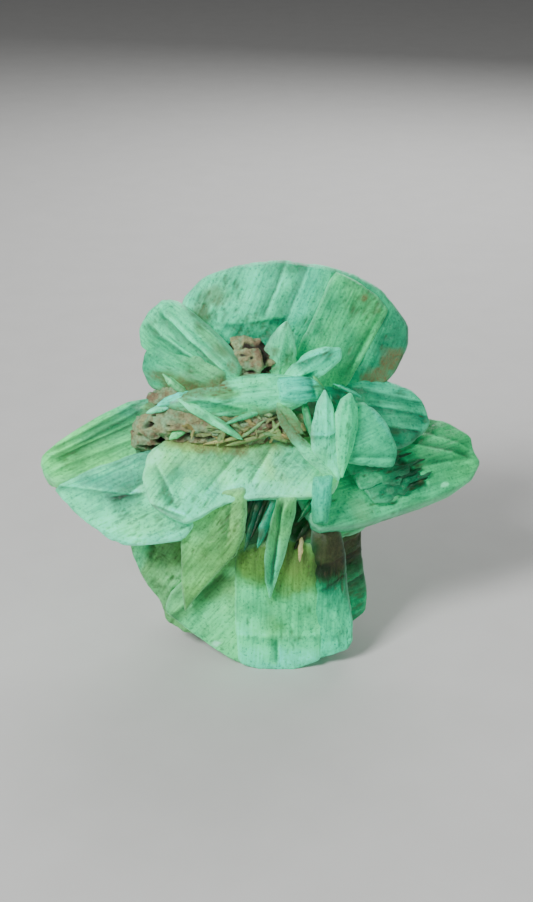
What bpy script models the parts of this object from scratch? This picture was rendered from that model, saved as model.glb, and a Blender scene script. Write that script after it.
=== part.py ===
"""Green selenite rosette: tabular gypsum blades grown through one another, with clay in the central hollow.

Frame: millimetres in the tables, metres in the scene, +Z up, +Y away from the show side.
The origin is on the resting plane, under the middle of the bounding box.
"""

import math

import bmesh
import bpy
from mathutils import Matrix, Vector

MM = 0.001

# Driving sizes of the specimen, in millimetres
SHIFT_X = -0.8
SHIFT_Y = -11.7
RIM_THICKNESS = 1.0
RIM_INSET_MIN_SHARE = 0.15
SHOULDER_SHARE = 0.72
FACE_SHARE = 0.5
THINNEST_FACE = 0.65
CROWN_INSET_SHARE = 0.5
NARROWEST_CROWN = 0.4
SPLINTER_BEVEL_SHARE = 0.3
SPLINTER_SHOULDERS = (-0.5, 0.4)
CLAY_GAP = 0.4
GROUND_CUTTER_SIZE = 300.0

# Colours, linear RGB
CRYSTAL_GREEN = (0.25, 0.72, 0.50, 1.0)
CLAY_BROWN = (0.26, 0.20, 0.13, 1.0)

# Each blade: place is its middle, yaw turns its face towards +X, tilt leans its face up (90 lies flat),
# thick is its greatest thickness, face is the share of it in front of the rim, bevel is how far the rim slopes in,
# and outline runs round the blade in its plane.
BACK_FAN = {
    "back_fan": dict(
        place=(10.5, 13.5, 83.5), yaw=6, tilt=10, thick=10, face=0.3, bevel=3.5,
        outline=[(-31, 14), (-25, 20), (-16, 23), (-4, 24), (8, 22), (17, 19), (24, 14.5), (31, 5), (31, -1),
                 (27, -9), (15, -20), (0, -26), (-18, -22), (-27, -8), (-31, 5)],
    ),
    "fan_terrace": dict(
        place=(16, 10.6, 85), yaw=6, tilt=10, thick=5, face=0.3, bevel=0.8,
        outline=[(-1, 19.5), (5, 18.5), (12, 15.5), (18, 10.5), (10, -6), (3, -21), (-9, -20), (-14, -8)],
    ),
    "upper_left_ridge": dict(
        place=(-18, 5, 89), yaw=-18, tilt=14, thick=11, bevel=4.5,
        outline=[(15, -5), (9, 1), (1, 6.5), (-5, 10), (-9, 9.5), (-13, 5.5), (-15, 1), (-14, -4), (-6, -7),
                 (4, -10), (14, -13)],
    ),
    "upper_left_lobe": dict(
        place=(-20, 2, 82), yaw=-20, tilt=20, thick=11, bevel=4,
        outline=[(-11.5, 3), (-8.5, 5.5), (-3, 6), (5, 4.5), (13, 1), (12, -7), (3, -9), (-4, -8), (-9, -6.5),
                 (-12, -2)],
    ),
    "leaf_up": dict(
        place=(5.5, 4, 85.5), yaw=10, tilt=5, thick=5, bevel=2,
        outline=[(2.5, 9), (4.2, 4), (4.8, -1), (5, -10), (-1, -12), (-6.5, -9), (-5, -1), (-2, 5)],
    ),
    "leaf_right": dict(
        place=(14.5, 1, 83), yaw=10, tilt=25, thick=5, bevel=2,
        outline=[(-11, -6), (-6, 0), (-1, 3.5), (4, 4.8), (8, 4.2), (8, 1), (4, -2), (-3, -6), (-8, -8)],
    ),
}

WINGS = {
    "left_wing_top": dict(
        place=(-40, 10.5, 56), yaw=-12, tilt=66, thick=10, face=0.2, bevel=4,
        outline=[(-19, -11), (-19.5, -8), (-17, -3.5), (-13, 2), (-7, 9), (0, 15), (8, 18), (22, 17), (30, 6),
                 (24, -6), (8, -9), (-4, -13), (-13, -17), (-17, -15)],
    ),
    "left_wing_front": dict(
        place=(-35, -10, 48), yaw=-14, tilt=38, thick=10, face=0.2, bevel=3,
        outline=[(-22, 1), (-17, -3.5), (-10, -8), (-4, -11), (1, -12.5), (9, -11), (16.5, -9), (20, -3), (22, 10),
                 (12, 16), (2, 14), (-11, 8)],
    ),
    "front_apron": dict(
        place=(-4, -12, 57), yaw=4, tilt=48, thick=8, face=0.15, bevel=2,
        outline=[(-25, -8), (-21, -11), (-16, -13.5), (-12, -12), (-8, -9.5), (-2, -7.5), (5, -7), (14, -7.5),
                 (23.5, -7), (26, -2), (23, 4), (18, 11), (8, 14), (-6, 14), (-18, 12), (-25, 7), (-27, 0)],
    ),
    "right_wing": dict(
        place=(37.5, 1, 51), yaw=16, tilt=50, thick=12, face=0.25, bevel=5,
        outline=[(12, 15.5), (19, 13), (25, 7.5), (24.5, 3), (25.5, -0.5), (22, -5), (15, -8.5), (7, -10.5),
                 (-3, -12.5), (-14, -14.5), (-26, -14), (-30, 0), (-22, 12), (-8, 17), (4, 18)],
    ),
    "right_upper": dict(
        place=(31, 8, 66.5), yaw=14, tilt=40, thick=8, face=0.3, bevel=3,
        outline=[(-18, 11), (-6, 12), (5, 8.5), (12.5, 5), (15.5, 1), (16.5, -6), (9, -11), (-6, -13), (-18, -8)],
    ),
    "right_under": dict(
        place=(22.5, -6.5, 44), yaw=12, tilt=30, thick=7, face=0.3, bevel=2,
        outline=[(-14, -9), (-4, -9.2), (5, -7), (9, -4), (14, 0.5), (12, 4.5), (9, 8), (2, 11), (-8, 12),
                 (-15, 6), (-17, -4)],
    ),
    "disc_leaf": dict(
        place=(30, -6.5, 65.5), yaw=12, tilt=15, thick=4.5, bevel=1.8,
        outline=[(-5, 9), (-1, 9.2), (3.5, 5), (6, 0), (7.5, -5), (6.3, -8.8), (2, -8.8), (-5, -7), (-9, -6),
                 (-9, 3)],
    ),
}

HEART = {
    "long_leaf": dict(
        place=(-5, -3.5, 77), yaw=0, tilt=30, thick=10, bevel=3,
        outline=[(-22, -3), (-17, -1), (-9, 2.3), (1, 4.6), (10, 5), (18, 4.2), (22, 0), (14, -5), (3, -7),
                 (-9, -7), (-18, -5)],
    ),
    "stub": dict(
        place=(11.5, -5.8, 79), yaw=8, tilt=30, thick=8, bevel=2,
        outline=[(-6.5, 3.3), (-2, 3.6), (3, 2.6), (7, -0.8), (4.5, -3.4), (-1, -4), (-6.5, -3)],
    ),
    "left_spike": dict(
        place=(-25, -0.5, 73), yaw=-10, tilt=40, thick=4, bevel=1.5,
        outline=[(-7, -2.3), (-3.5, 0), (2, 1.6), (8, 2.5), (12, 0), (4, -3), (-3, -3.2)],
    ),
    "right_leaf_pale": dict(
        place=(18, -11.5, 67.5), yaw=15, tilt=8, thick=5, bevel=1.8,
        outline=[(0, 13), (-2.2, 9.5), (-4, 3), (-4, -3), (-1, -8), (3, -13), (4.5, -9), (3.8, -3), (3, 2),
                 (2, 9)],
    ),
    "right_leaf_green": dict(
        place=(23.5, -10, 67.5), yaw=30, tilt=8, thick=5, bevel=1.8,
        outline=[(2, 11.3), (3.7, 7), (3.4, 1.5), (1.5, -4), (-2.5, -12), (-4, -7), (-3.6, 0), (-3.2, 6),
                 (-1, 10)],
    ),
    "rod_short": dict(
        place=(8, -8, 72.5), yaw=0, tilt=25, thick=3, bevel=1,
        outline=[(-5.5, 6), (-2.5, 4.8), (1, 0.8), (3.4, -2.4), (4, -5), (2.4, -5), (-0.8, -2), (-4, 2.5)],
    ),
    "rod_long": dict(
        place=(13, -11, 65), yaw=5, tilt=25, thick=3.5, bevel=1,
        outline=[(-8.5, 11.5), (-5.5, 8.5), (-2.2, 3), (2, -1.6), (5.5, -6), (7.5, -9.5), (4, -8), (0, -4.4),
                 (-4, 0.5), (-7, 5.5)],
    ),
    "post": dict(
        place=(16.5, -16.5, 51), yaw=8, tilt=4, thick=6, bevel=1.2,
        outline=[(-2.5, 7), (4, 7), (3.8, 1.5), (3.2, -6.4), (-2.6, -6.2), (-3.6, 0)],
    ),
}

FOOT = {
    "foot_left_pane": dict(
        place=(-13.5, -13, 14), yaw=-9, tilt=8, thick=8, face=0.35, bevel=2.5,
        outline=[(-13, 0), (-5.5, -5.5), (1, -10), (6, -12.8), (11, -14.6), (13, 10), (9, 26), (-1, 16), (-11, 6)],
    ),
    "foot_middle_pane": dict(
        place=(5.5, -15, 22), yaw=0, tilt=8, thick=8, face=0.35, bevel=2.5,
        outline=[(-12, 12), (-12, -10), (-11, -21), (-5, -23), (4, -23.2), (12, -20), (12.5, -5), (12, 13),
                 (6, 16), (-4, 15)],
    ),
    "foot_right_pane": dict(
        place=(20, -14, 22), yaw=8, tilt=8, thick=8, face=0.35, bevel=2,
        outline=[(-6, 18), (-6, -20), (0, -19.2), (4.6, -17.6), (6, -15), (6, -8.5), (4.5, 0), (4, 12), (2, 20)],
    ),
    "foot_side_left": dict(
        place=(-19, -6, 22.5), yaw=-15, tilt=5, thick=9, bevel=3,
        outline=[(-18, 15), (-17.5, 6), (-15, 0), (-12, -5), (-8.5, -9), (-7, -15), (0, -18), (10, -16),
                 (18, 0), (14, 20), (-4, 24)],
    ),
    "foot_side_right": dict(
        place=(18, -5.5, 22), yaw=12, tilt=5, thick=10, bevel=2.5,
        outline=[(-8, 20), (11, 19), (11, 7.5), (11.8, 0), (12.8, -6), (12.3, -12), (8, -15), (-2, -19),
                 (-14, -16), (-12, 8)],
    ),
    "slanting_pane": dict(
        place=(-10, -17.5, 37), yaw=-6, tilt=6, thick=5.5, face=0.4, bevel=1.2,
        outline=[(-10.5, 12), (-2, 17), (6.5, 18), (6.8, 11), (6.2, 5), (4.2, -1), (-2, -8), (-8, -16),
                 (-10, -19), (-11, -10), (-11, 0)],
    ),
    "spear": dict(
        place=(5.4, -17.2, 38.5), yaw=-11, tilt=7, thick=7, face=0.5, bevel=2.5,
        outline=[(-0.5, 14), (4.6, 14), (4.4, 9), (3.2, 2.5), (1.5, -4.5), (-1.8, -16.5), (-3.3, -11.5),
                 (-3.7, -4.5), (-2.8, 3)],
    ),
}

# The side that the photograph hides: the same habit carried on round the specimen
BACK = {
    "back_foot": dict(
        place=(2, 20, 21), yaw=186, tilt=12, thick=9, bevel=3,
        outline=[(-20, 18), (-23, 6), (-20, -8), (-13, -17.5), (-6, -22), (7, -22), (14, -17), (21, -7), (23, 6),
                 (16, 20), (0, 26)],
    ),
    "foot_flank_left": dict(
        place=(-14.5, 6, 25), yaw=-78, tilt=-12, thick=8, bevel=3,
        outline=[(-13, 18), (-14, 4), (-11, -12), (-5, -21), (3, -24), (10, -17), (14, -4), (13, 16)],
    ),
    "foot_flank_right": dict(
        place=(15.5, 7, 25), yaw=80, tilt=-8, thick=8, bevel=3,
        outline=[(-14, 17), (-13, 0), (-10, -15), (-2, -23), (6, -21), (12, -12), (14, 3), (12, 18)],
    ),
    "back_wing_left": dict(
        place=(-15, 32, 52), yaw=196, tilt=58, thick=9, bevel=5,
        outline=[(-16, 10), (-18, -2), (-12, -11), (-2, -15), (9, -13), (17, -6), (19, 4), (14, 12)],
    ),
    "back_wing_right": dict(
        place=(20, 30, 46), yaw=160, tilt=50, thick=10, bevel=5,
        outline=[(-19, 8), (-22, -3), (-15, -11), (-4, -15), (8, -13), (16, -5), (16, 8)],
    ),
    "back_fin": dict(
        place=(3, 32, 64), yaw=98, tilt=6, thick=7, bevel=3,
        outline=[(-12, -22), (4, -20), (12, -10), (15, 2), (12, 13), (3, 20), (-12, 18)],
    ),
    "back_spire": dict(
        place=(8, 23, 80), yaw=192, tilt=16, thick=7, bevel=3,
        outline=[(-14, -14), (-16, 0), (-9, 12), (1, 18), (10, 12), (15, 0), (12, -14), (0, -18)],
    ),
    "back_leaf_low": dict(
        place=(-13, 21.5, 35), yaw=214, tilt=8, thick=6, bevel=2,
        outline=[(-5, 12), (-7, 2), (-4, -9), (0, -15), (4, -8), (6, 3), (4, 12)],
    ),
    "back_leaf_high": dict(
        place=(-14, 19, 76), yaw=205, tilt=26, thick=5, bevel=2,
        outline=[(-6, -10), (-8, 0), (-4, 9), (1, 14), (5, 8), (8, -2), (6, -10)],
    ),
}

# Thin blades scattered through the hollows: (start, end, width, thickness, turn about their own length)
SPLINTERS = [
    ((-21, -3, 77), (-4, -12, 67), 2.6, 2.0, 20),
    ((-9, -11, 70.5), (8, -5, 75.5), 2.0, 1.6, -20),
    ((12, -4, 76), (14.4, -9.8, 66), 2.8, 1.8, 80),
    ((-25, -6.2, 72.4), (-17.5, -2.4, 76.5), 5.0, 4.0, 15),
    ((-28, -7.6, 71.5), (-19, -4, 74.5), 2.4, 1.8, 20),
    ((-25.6, -2.2, 82), (-18, -4.5, 76), 2.6, 1.8, 20),
    ((11.6, -13.5, 40), (11.2, -17.8, 33), 1.9, 1.7, 0),
]
CREVICE_LEAVES = [
    ((0, -11, 56), (-6.8, -18.8, 35), 3.2, 1.8, 60),
    ((2, -11, 54), (-3.9, -18.5, 36.5), 3.0, 1.6, 80),
    ((6, -12, 54), (-0.4, -19.2, 38), 3.2, 1.8, 100),
    ((4, -9, 54), (-2.3, -17.4, 39.5), 2.8, 1.6, 50),
    ((18, -8, 52), (10.4, -16.8, 44.5), 2.8, 1.8, 60),
    ((19, -7, 48), (10, -15.6, 38), 3.0, 1.8, 80),
    ((17, -8, 45), (9.7, -15.6, 35.4), 2.6, 1.6, 100),
]

# Massive intergrown core that every blade roots in: (middle, half sizes)
CORE_LUMPS = [
    ((1, 8, 60), (23, 14, 20)),
    ((0, 4.5, 27), (20, 15, 33)),
    ((24, 6, 52), (18, 9, 10)),
    ((-22, 6, 52), (16, 10, 9)),
]

# Clay packed between the blades, each filling one node: (middle, half sizes)
CLAY_FILLINGS = {
    "clay_hollow": [
        ((-15, -7.5, 68.5), (15, 5.5, 6)),
        ((-1, -7.5, 67.5), (12, 5, 5)),
        ((9, -6.5, 67), (7, 4.5, 4.5)),
        ((-25, -2.5, 66.5), (9.5, 7.5, 4)),
        ((-22, -2.5, 73), (9, 7, 7)),
    ],
    "clay_collar": [
        ((-2, 4, 82), (9, 5, 7)),
        ((-9, 2, 80.5), (8, 4.5, 5)),
    ],
}

# A lump's rings and points round each, and how deep its surface waves as a share of its size
LUMP_RING_POINTS = 10
LUMP_RINGS = 6
LUMP_WAVE = 0.09


def turned(place, yaw, tilt):
    """Local X runs along the blade's face, local Y up it, local Z out of it."""
    spin = Matrix.Rotation(math.radians(yaw), 4, "Z") @ Matrix.Rotation(math.radians(90 - tilt), 4, "X")
    return Matrix.Translation(Vector(place) * MM) @ spin


def inset(outline, distance):
    """Pulls every outline point the same distance towards the blade's middle."""
    middle = sum((Vector(p) for p in outline), Vector((0, 0))) / len(outline)
    pulled = []
    for point in outline:
        arm = Vector(point) - middle
        keep = max(1 - distance / arm.length, RIM_INSET_MIN_SHARE)
        pulled.append(middle + arm * keep)
    return pulled


def ring(bm, outline, height):
    return [bm.verts.new((p[0] * MM, p[1] * MM, height * MM)) for p in outline]


def bridge(bm, lower, upper):
    count = len(lower)
    for i in range(count):
        j = (i + 1) % count
        bm.faces.new((lower[i], lower[j], upper[j], upper[i]))


def mesh_from(bm, name):
    bmesh.ops.recalc_face_normals(bm, faces=bm.faces)
    mesh = bpy.data.meshes.new(name)
    bm.to_mesh(mesh)
    bm.free()
    return mesh


def area_sign(outline):
    total = sum(a[0] * b[1] - a[1] * b[0] for a, b in zip(outline, outline[1:] + outline[:1]))
    return 1 if total > 0 else -1


def blade_mesh(name, outline, thick, bevel, face=FACE_SHARE, grow=0.0):
    """A lens-shaped tablet: thin rim, sloping shoulder, gently crowned flat faces. grow swells it all round."""
    outline = outline if area_sign(outline) > 0 else outline[::-1]
    rim = inset(outline, -grow)
    shoulder = inset(outline, bevel - grow)
    short_side = min(max(c) - min(c) for c in zip(*outline))
    crown_inset = CROWN_INSET_SHARE * max(short_side / 2 - bevel, NARROWEST_CROWN)
    crown = inset(outline, bevel - grow + crown_inset)
    bm = bmesh.new()
    half_rim = RIM_THICKNESS / 2
    front = max(thick * face, THINNEST_FACE) + grow
    back = thick * (1 - face) + grow
    levels = [
        (crown, -back),
        (shoulder, -half_rim - (back - half_rim) * SHOULDER_SHARE),
        (rim, -half_rim - grow),
        (rim, half_rim + grow),
        (shoulder, half_rim + (front - half_rim) * SHOULDER_SHARE),
        (crown, front),
    ]
    rings = [ring(bm, points, height) for points, height in levels]
    for lower, upper in zip(rings, rings[1:]):
        bridge(bm, lower, upper)
    bm.faces.new(rings[0][::-1])
    bm.faces.new(rings[-1])
    return mesh_from(bm, name)


def lump_mesh(name, half_sizes, grow=0.0):
    """A rough ellipsoid whose surface waves a little, closed at both poles."""
    bm = bmesh.new()
    rings = []
    for i in range(1, LUMP_RINGS):
        lean = math.pi * i / LUMP_RINGS
        points = []
        for k in range(LUMP_RING_POINTS):
            turn = math.tau * k / LUMP_RING_POINTS
            wave = 1 + LUMP_WAVE * math.sin(3 * turn + 2 * i) * math.cos(2 * turn - i)
            direction = (math.sin(lean) * math.cos(turn), math.sin(lean) * math.sin(turn), -math.cos(lean))
            points.append([d * wave * h + d * grow for d, h in zip(direction, half_sizes)])
        rings.append([bm.verts.new([c * MM for c in p]) for p in points])
    for lower, upper in zip(rings, rings[1:]):
        bridge(bm, lower, upper)
    bottom = bm.verts.new((0, 0, -(half_sizes[2] + grow) * MM))
    top = bm.verts.new((0, 0, (half_sizes[2] + grow) * MM))
    for i in range(LUMP_RING_POINTS):
        j = (i + 1) % LUMP_RING_POINTS
        bm.faces.new((bottom, rings[0][j], rings[0][i]))
        bm.faces.new((top, rings[-1][i], rings[-1][j]))
    return mesh_from(bm, name)


def helper(name, mesh, matrix, collection):
    """A shape that only a Boolean reads."""
    obj = bpy.data.objects.new(name, mesh)
    obj.matrix_world = matrix
    obj.hide_render = True
    obj.display_type = "WIRE"
    collection.objects.link(obj)
    return obj


def splinter_parts(start, end, width, thickness, turn):
    """Outline and place of a narrow spindle from start to end, turned about its own length."""
    start, end = Vector(start), Vector(end)
    length = (end - start).length
    half = length / 2
    near, far = (half * share for share in SPLINTER_SHOULDERS)
    outline = [(-half, 0), (near, -width / 2), (far, -width / 2), (half, 0), (far, width / 2), (near, width / 2)]
    facing = (end - start).to_track_quat("X", "Z").to_matrix().to_4x4()
    spin = Matrix.Rotation(math.radians(turn), 4, "X")
    matrix = Matrix.Translation((start + end) / 2 * MM) @ facing @ spin
    return outline, matrix, thickness


def place_blades(collection, grow):
    """Every crystal blade and splinter, swollen by grow, in a collection for a Boolean."""
    suffix = "_swollen" if grow else ""
    for group in (BACK_FAN, WINGS, HEART, FOOT, BACK):
        for name, b in group.items():
            mesh = blade_mesh(name, b["outline"], b["thick"], b["bevel"], b.get("face", FACE_SHARE), grow)
            helper(name + suffix, mesh, turned(b["place"], b["yaw"], b["tilt"]), collection)
    for number, row in enumerate(SPLINTERS + CREVICE_LEAVES):
        outline, matrix, thickness = splinter_parts(*row)
        mesh = blade_mesh("splinter", outline, thickness, row[2] * SPLINTER_BEVEL_SHARE, FACE_SHARE, grow)
        helper(f"splinter_{number}{suffix}", mesh, matrix, collection)
    for number, (middle, half) in enumerate(CORE_LUMPS):
        matrix = Matrix.Translation(Vector(middle) * MM)
        helper(f"core_{number}{suffix}", lump_mesh("core", half, grow), matrix, collection)


def new_collection(name):
    collection = bpy.data.collections.new(name)
    bpy.context.scene.collection.children.link(collection)
    return collection


def add_boolean(obj, name, operation, collection=None, cutter=None):
    modifier = obj.modifiers.new(name, "BOOLEAN")
    modifier.operation = operation
    modifier.solver = "EXACT"
    if collection:
        modifier.operand_type = "COLLECTION"
        modifier.collection = collection
    else:
        modifier.object = cutter


def baked_mesh(obj):
    """The mesh that obj's modifiers give, in the specimen's frame."""
    bpy.context.view_layer.update()
    graph = bpy.context.evaluated_depsgraph_get()
    mesh = bpy.data.meshes.new_from_object(obj.evaluated_get(graph))
    mesh.transform(obj.matrix_world)
    return mesh


def keep_largest_body(mesh):
    """Deletes the crumbs that a cut leaves beside the main body, and pockets sealed inside it."""
    bm = bmesh.new()
    bm.from_mesh(mesh)
    left = set(bm.faces)
    bodies = []
    while left:
        body = [left.pop()]
        for face in body:
            near = {f for e in face.edges if len(e.link_faces) == 2 for f in e.link_faces} & left
            left -= near
            body.extend(near)
        bodies.append(body)
    bodies.sort(key=len)
    crumbs = [f for body in bodies[:-1] for f in body]
    bmesh.ops.delete(bm, geom=crumbs, context="FACES")
    bm.to_mesh(mesh)
    bm.free()


def material(name, colour, roughness):
    made = bpy.data.materials.new(name)
    made.use_nodes = True
    shader = made.node_tree.nodes["Principled BSDF"]
    shader.inputs["Base Color"].default_value = colour
    shader.inputs["Roughness"].default_value = roughness
    shader.inputs["Metallic"].default_value = 0.0
    return made


def finish(name, mesh, made):
    mesh.materials.clear()
    mesh.materials.append(made)
    mesh.transform(Matrix.Translation((SHIFT_X * MM, SHIFT_Y * MM, 0)))
    obj = bpy.data.objects.new(name, mesh)
    bpy.context.scene.collection.objects.link(obj)
    return obj


def ground_cutter(collection):
    """Everything under the resting plane, where the lowest blades are worn flat."""
    bm = bmesh.new()
    bmesh.ops.create_cube(bm, size=GROUND_CUTTER_SIZE * MM)
    below = Matrix.Translation((0, 0, -GROUND_CUTTER_SIZE / 2 * MM))
    return helper("ground", mesh_from(bm, "ground"), below, collection)


def crystal_cluster():
    """All blades and the core they root in, fused into the one solid that they grew as."""
    blades = new_collection("blades")
    place_blades(blades, 0.0)
    cutters = new_collection("cutters")
    ground = ground_cutter(cutters)
    seed = blades.objects["core_0"]
    blades.objects.unlink(seed)
    cutters.objects.link(seed)
    add_boolean(seed, "fuse", "UNION", collection=blades)
    add_boolean(seed, "rest", "DIFFERENCE", cutter=ground)
    mesh = baked_mesh(seed)
    seed.modifiers.clear()
    keep_largest_body(mesh)
    return finish("crystal_cluster", mesh, material("selenite", CRYSTAL_GREEN, 0.35))


def clay(name, lumps, swollen):
    """Clay packed in a hollow, lying against the blades with a hair of space."""
    pads = new_collection(name + "_pads")
    pieces = []
    for number, (middle, half) in enumerate(lumps):
        matrix = Matrix.Translation(Vector(middle) * MM)
        pieces.append(helper(f"{name}_pad_{number}", lump_mesh("pad", half), matrix, pads))
    base = pieces[0]
    pads.objects.unlink(base)
    bpy.context.scene.collection.objects.link(base)
    add_boolean(base, "gather", "UNION", collection=pads)
    add_boolean(base, "seat", "DIFFERENCE", collection=swollen)
    mesh = baked_mesh(base)
    base.modifiers.clear()
    keep_largest_body(mesh)
    return finish(name, mesh, material(name, CLAY_BROWN, 0.95))


def main():
    for obj in list(bpy.data.objects):
        bpy.data.objects.remove(obj)
    made = [crystal_cluster()]
    swollen = new_collection("swollen")
    place_blades(swollen, CLAY_GAP)
    for name, lumps in CLAY_FILLINGS.items():
        made.append(clay(name, lumps, swollen))
    for obj in made:
        corners = [v.co for v in obj.data.vertices]
        low = [round(min(c[k] for c in corners) / MM, 1) for k in range(3)]
        high = [round(max(c[k] for c in corners) / MM, 1) for k in range(3)]
        print(obj.name, len(obj.data.polygons), "faces", low, high)


main()
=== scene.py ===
import math
import bpy
import numpy as np
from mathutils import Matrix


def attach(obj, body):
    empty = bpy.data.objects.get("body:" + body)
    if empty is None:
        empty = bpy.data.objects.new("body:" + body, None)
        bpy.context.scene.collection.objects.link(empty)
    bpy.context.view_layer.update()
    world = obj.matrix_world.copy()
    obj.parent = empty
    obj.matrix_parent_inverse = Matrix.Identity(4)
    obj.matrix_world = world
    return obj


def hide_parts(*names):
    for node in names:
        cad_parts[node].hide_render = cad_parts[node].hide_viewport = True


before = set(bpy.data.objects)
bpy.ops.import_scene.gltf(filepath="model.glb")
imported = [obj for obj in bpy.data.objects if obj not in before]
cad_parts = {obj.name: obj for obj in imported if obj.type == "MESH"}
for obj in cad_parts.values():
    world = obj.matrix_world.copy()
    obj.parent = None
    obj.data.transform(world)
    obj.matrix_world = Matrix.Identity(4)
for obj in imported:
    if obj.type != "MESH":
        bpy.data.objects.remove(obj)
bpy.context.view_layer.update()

mm = 0.001
# The tables are in mm in the specimen's own frame, and this brings them to the row frame
originShift = np.array([-0.8, -11.7, 0.0])

# Camera: 42 cm off, looking 25 degrees down on the show side
cameraValues = {
    "distance": 420.0,
    "elevation": 25.0,
    "target": (2.2, 0.0, 58.05),
    "pixelsPerMm": 3.64,
    "frameHeight": 902,
    "sensor": 24.0,
}


def addCamera(values):
    lean = math.radians(values["elevation"])
    back = np.array([0, -math.cos(lean), math.sin(lean)])
    camera = bpy.data.cameras.new("camera")
    camera.sensor_fit = "VERTICAL"
    camera.sensor_height = values["sensor"]
    camera.lens = values["sensor"] * values["pixelsPerMm"] * values["distance"] / values["frameHeight"]
    camera.clip_start = 0.01
    holder = bpy.data.objects.new("camera", camera)
    holder.location = (np.array(values["target"]) + originShift + back * values["distance"]) * mm
    holder.rotation_euler = (math.radians(90) - lean, 0, 0)
    bpy.context.scene.collection.objects.link(holder)
    bpy.context.scene.camera = holder


addCamera(cameraValues)
print("camera placed")

latticeSize = 64  # corners along each side of the noise lattice, which then repeats


def turned(x, y, degrees):
    # how far points or directions reach along and across a direction that is turned by so many degrees
    c, s = math.cos(math.radians(degrees)), math.sin(math.radians(degrees))
    return x * c + y * s, y * c - x * s


def noiseAt(x, y, seed, octaves=3):
    # Random corners of a square lattice, blended by the smooth step of the point's place in its cell,
    # in octaves that are each twice as fine and half as strong as the last; about -1 to 1
    total = 0
    for k in range(octaves):
        corners = np.random.default_rng(seed + k).random((latticeSize, latticeSize)) * 2 - 1
        cellX, cellY = np.floor(x * 2**k).astype(int), np.floor(y * 2**k).astype(int)
        fx, fy = x * 2**k - cellX, y * 2**k - cellY
        fx, fy = fx * fx * (3 - 2 * fx), fy * fy * (3 - 2 * fy)
        left, right = cellX % latticeSize, (cellX + 1) % latticeSize
        near, far = cellY % latticeSize, (cellY + 1) % latticeSize
        low = corners[left, near] * (1 - fx) + corners[right, near] * fx
        high = corners[left, far] * (1 - fx) + corners[right, far] * fx
        total = total + (low * (1 - fy) + high * fy) / 2**k
    return total


def noiseIn(p, seed, octaves=3):
    # flat noise on the three coordinate planes, added up, so it has no seam round a solid
    x, y, z = p[:, 0], p[:, 1], p[:, 2]
    planes = ((x, y, seed), (y + 9, z, seed + 31), (z, x + 5, seed + 57))
    return sum(noiseAt(a, b, own, octaves) for a, b, own in planes) / 1.8


def ramp(edge, width, value):
    # 0 up to edge, 1 from edge + width on, smooth between
    t = np.clip((value - edge) / width, 0, 1)
    return t * t * (3 - 2 * t)


def softened(points, rounds, cut):
    # each corner is cut off at the same share of both its sides, over and over
    for _ in range(rounds):
        ahead = np.roll(points, -1, 0)
        points = np.stack([points + (ahead - points) * cut, ahead + (points - ahead) * cut], 1).reshape(-1, 2)
    return points


def evenly(points, step):
    # points at even steps of arc length round a closed outline, and how far round each one is
    closed = np.vstack([points, points[:1]])
    reach = np.r_[0, np.cumsum(np.linalg.norm(np.diff(closed, axis=0), axis=1))]
    at = np.linspace(0, reach[-1], max(int(reach[-1] / step), 24), endpoint=False)
    return np.stack([np.interp(at, reach, closed[:, k]) for k in (0, 1)], 1), at


def toOutline(p, outline):
    # the distance from each point to the nearest side of the outline
    nearest = np.full(len(p), 1e9)
    for start, along in zip(outline, np.roll(outline, -1, 0) - outline):
        t = np.clip(((p - start) @ along) / (along @ along + 1e-12), 0, 1)
        nearest = np.minimum(nearest, np.linalg.norm(p - start - t[:, None] * along, axis=1))
    return nearest


def middleOf(points):
    # the area centroid of a closed outline
    x, y = points.T
    x2, y2 = np.roll(points, -1, 0).T
    cross = x * y2 - x2 * y
    return np.array([((x + x2) * cross).sum(), ((y + y2) * cross).sum()]) / (3 * cross.sum())


def stacked(rings, around, first=0):
    # quads between neighbouring rings of equal length, and a fan of triangles at each pole; first is the
    # number of the pole that the counting starts from
    k = np.arange(around)
    ahead = (k + 1) % around
    starts = first + 1 + np.arange(rings - 1)[:, None] * around
    quads = np.stack([starts + k, starts + ahead, starts + around + ahead, starts + around + k], -1)
    last = first + 1 + (rings - 1) * around
    near = np.stack([np.full(around, first), first + 1 + ahead, first + 1 + k], -1)
    far = np.stack([np.full(around, last + around), last + k, last + ahead], -1)
    return [quads.reshape(-1, 4), near, far]


def joined(parts):
    # the faces of several stacked solids as one list
    return [np.vstack([part[k] for part in parts]) for k in range(3)]


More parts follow.
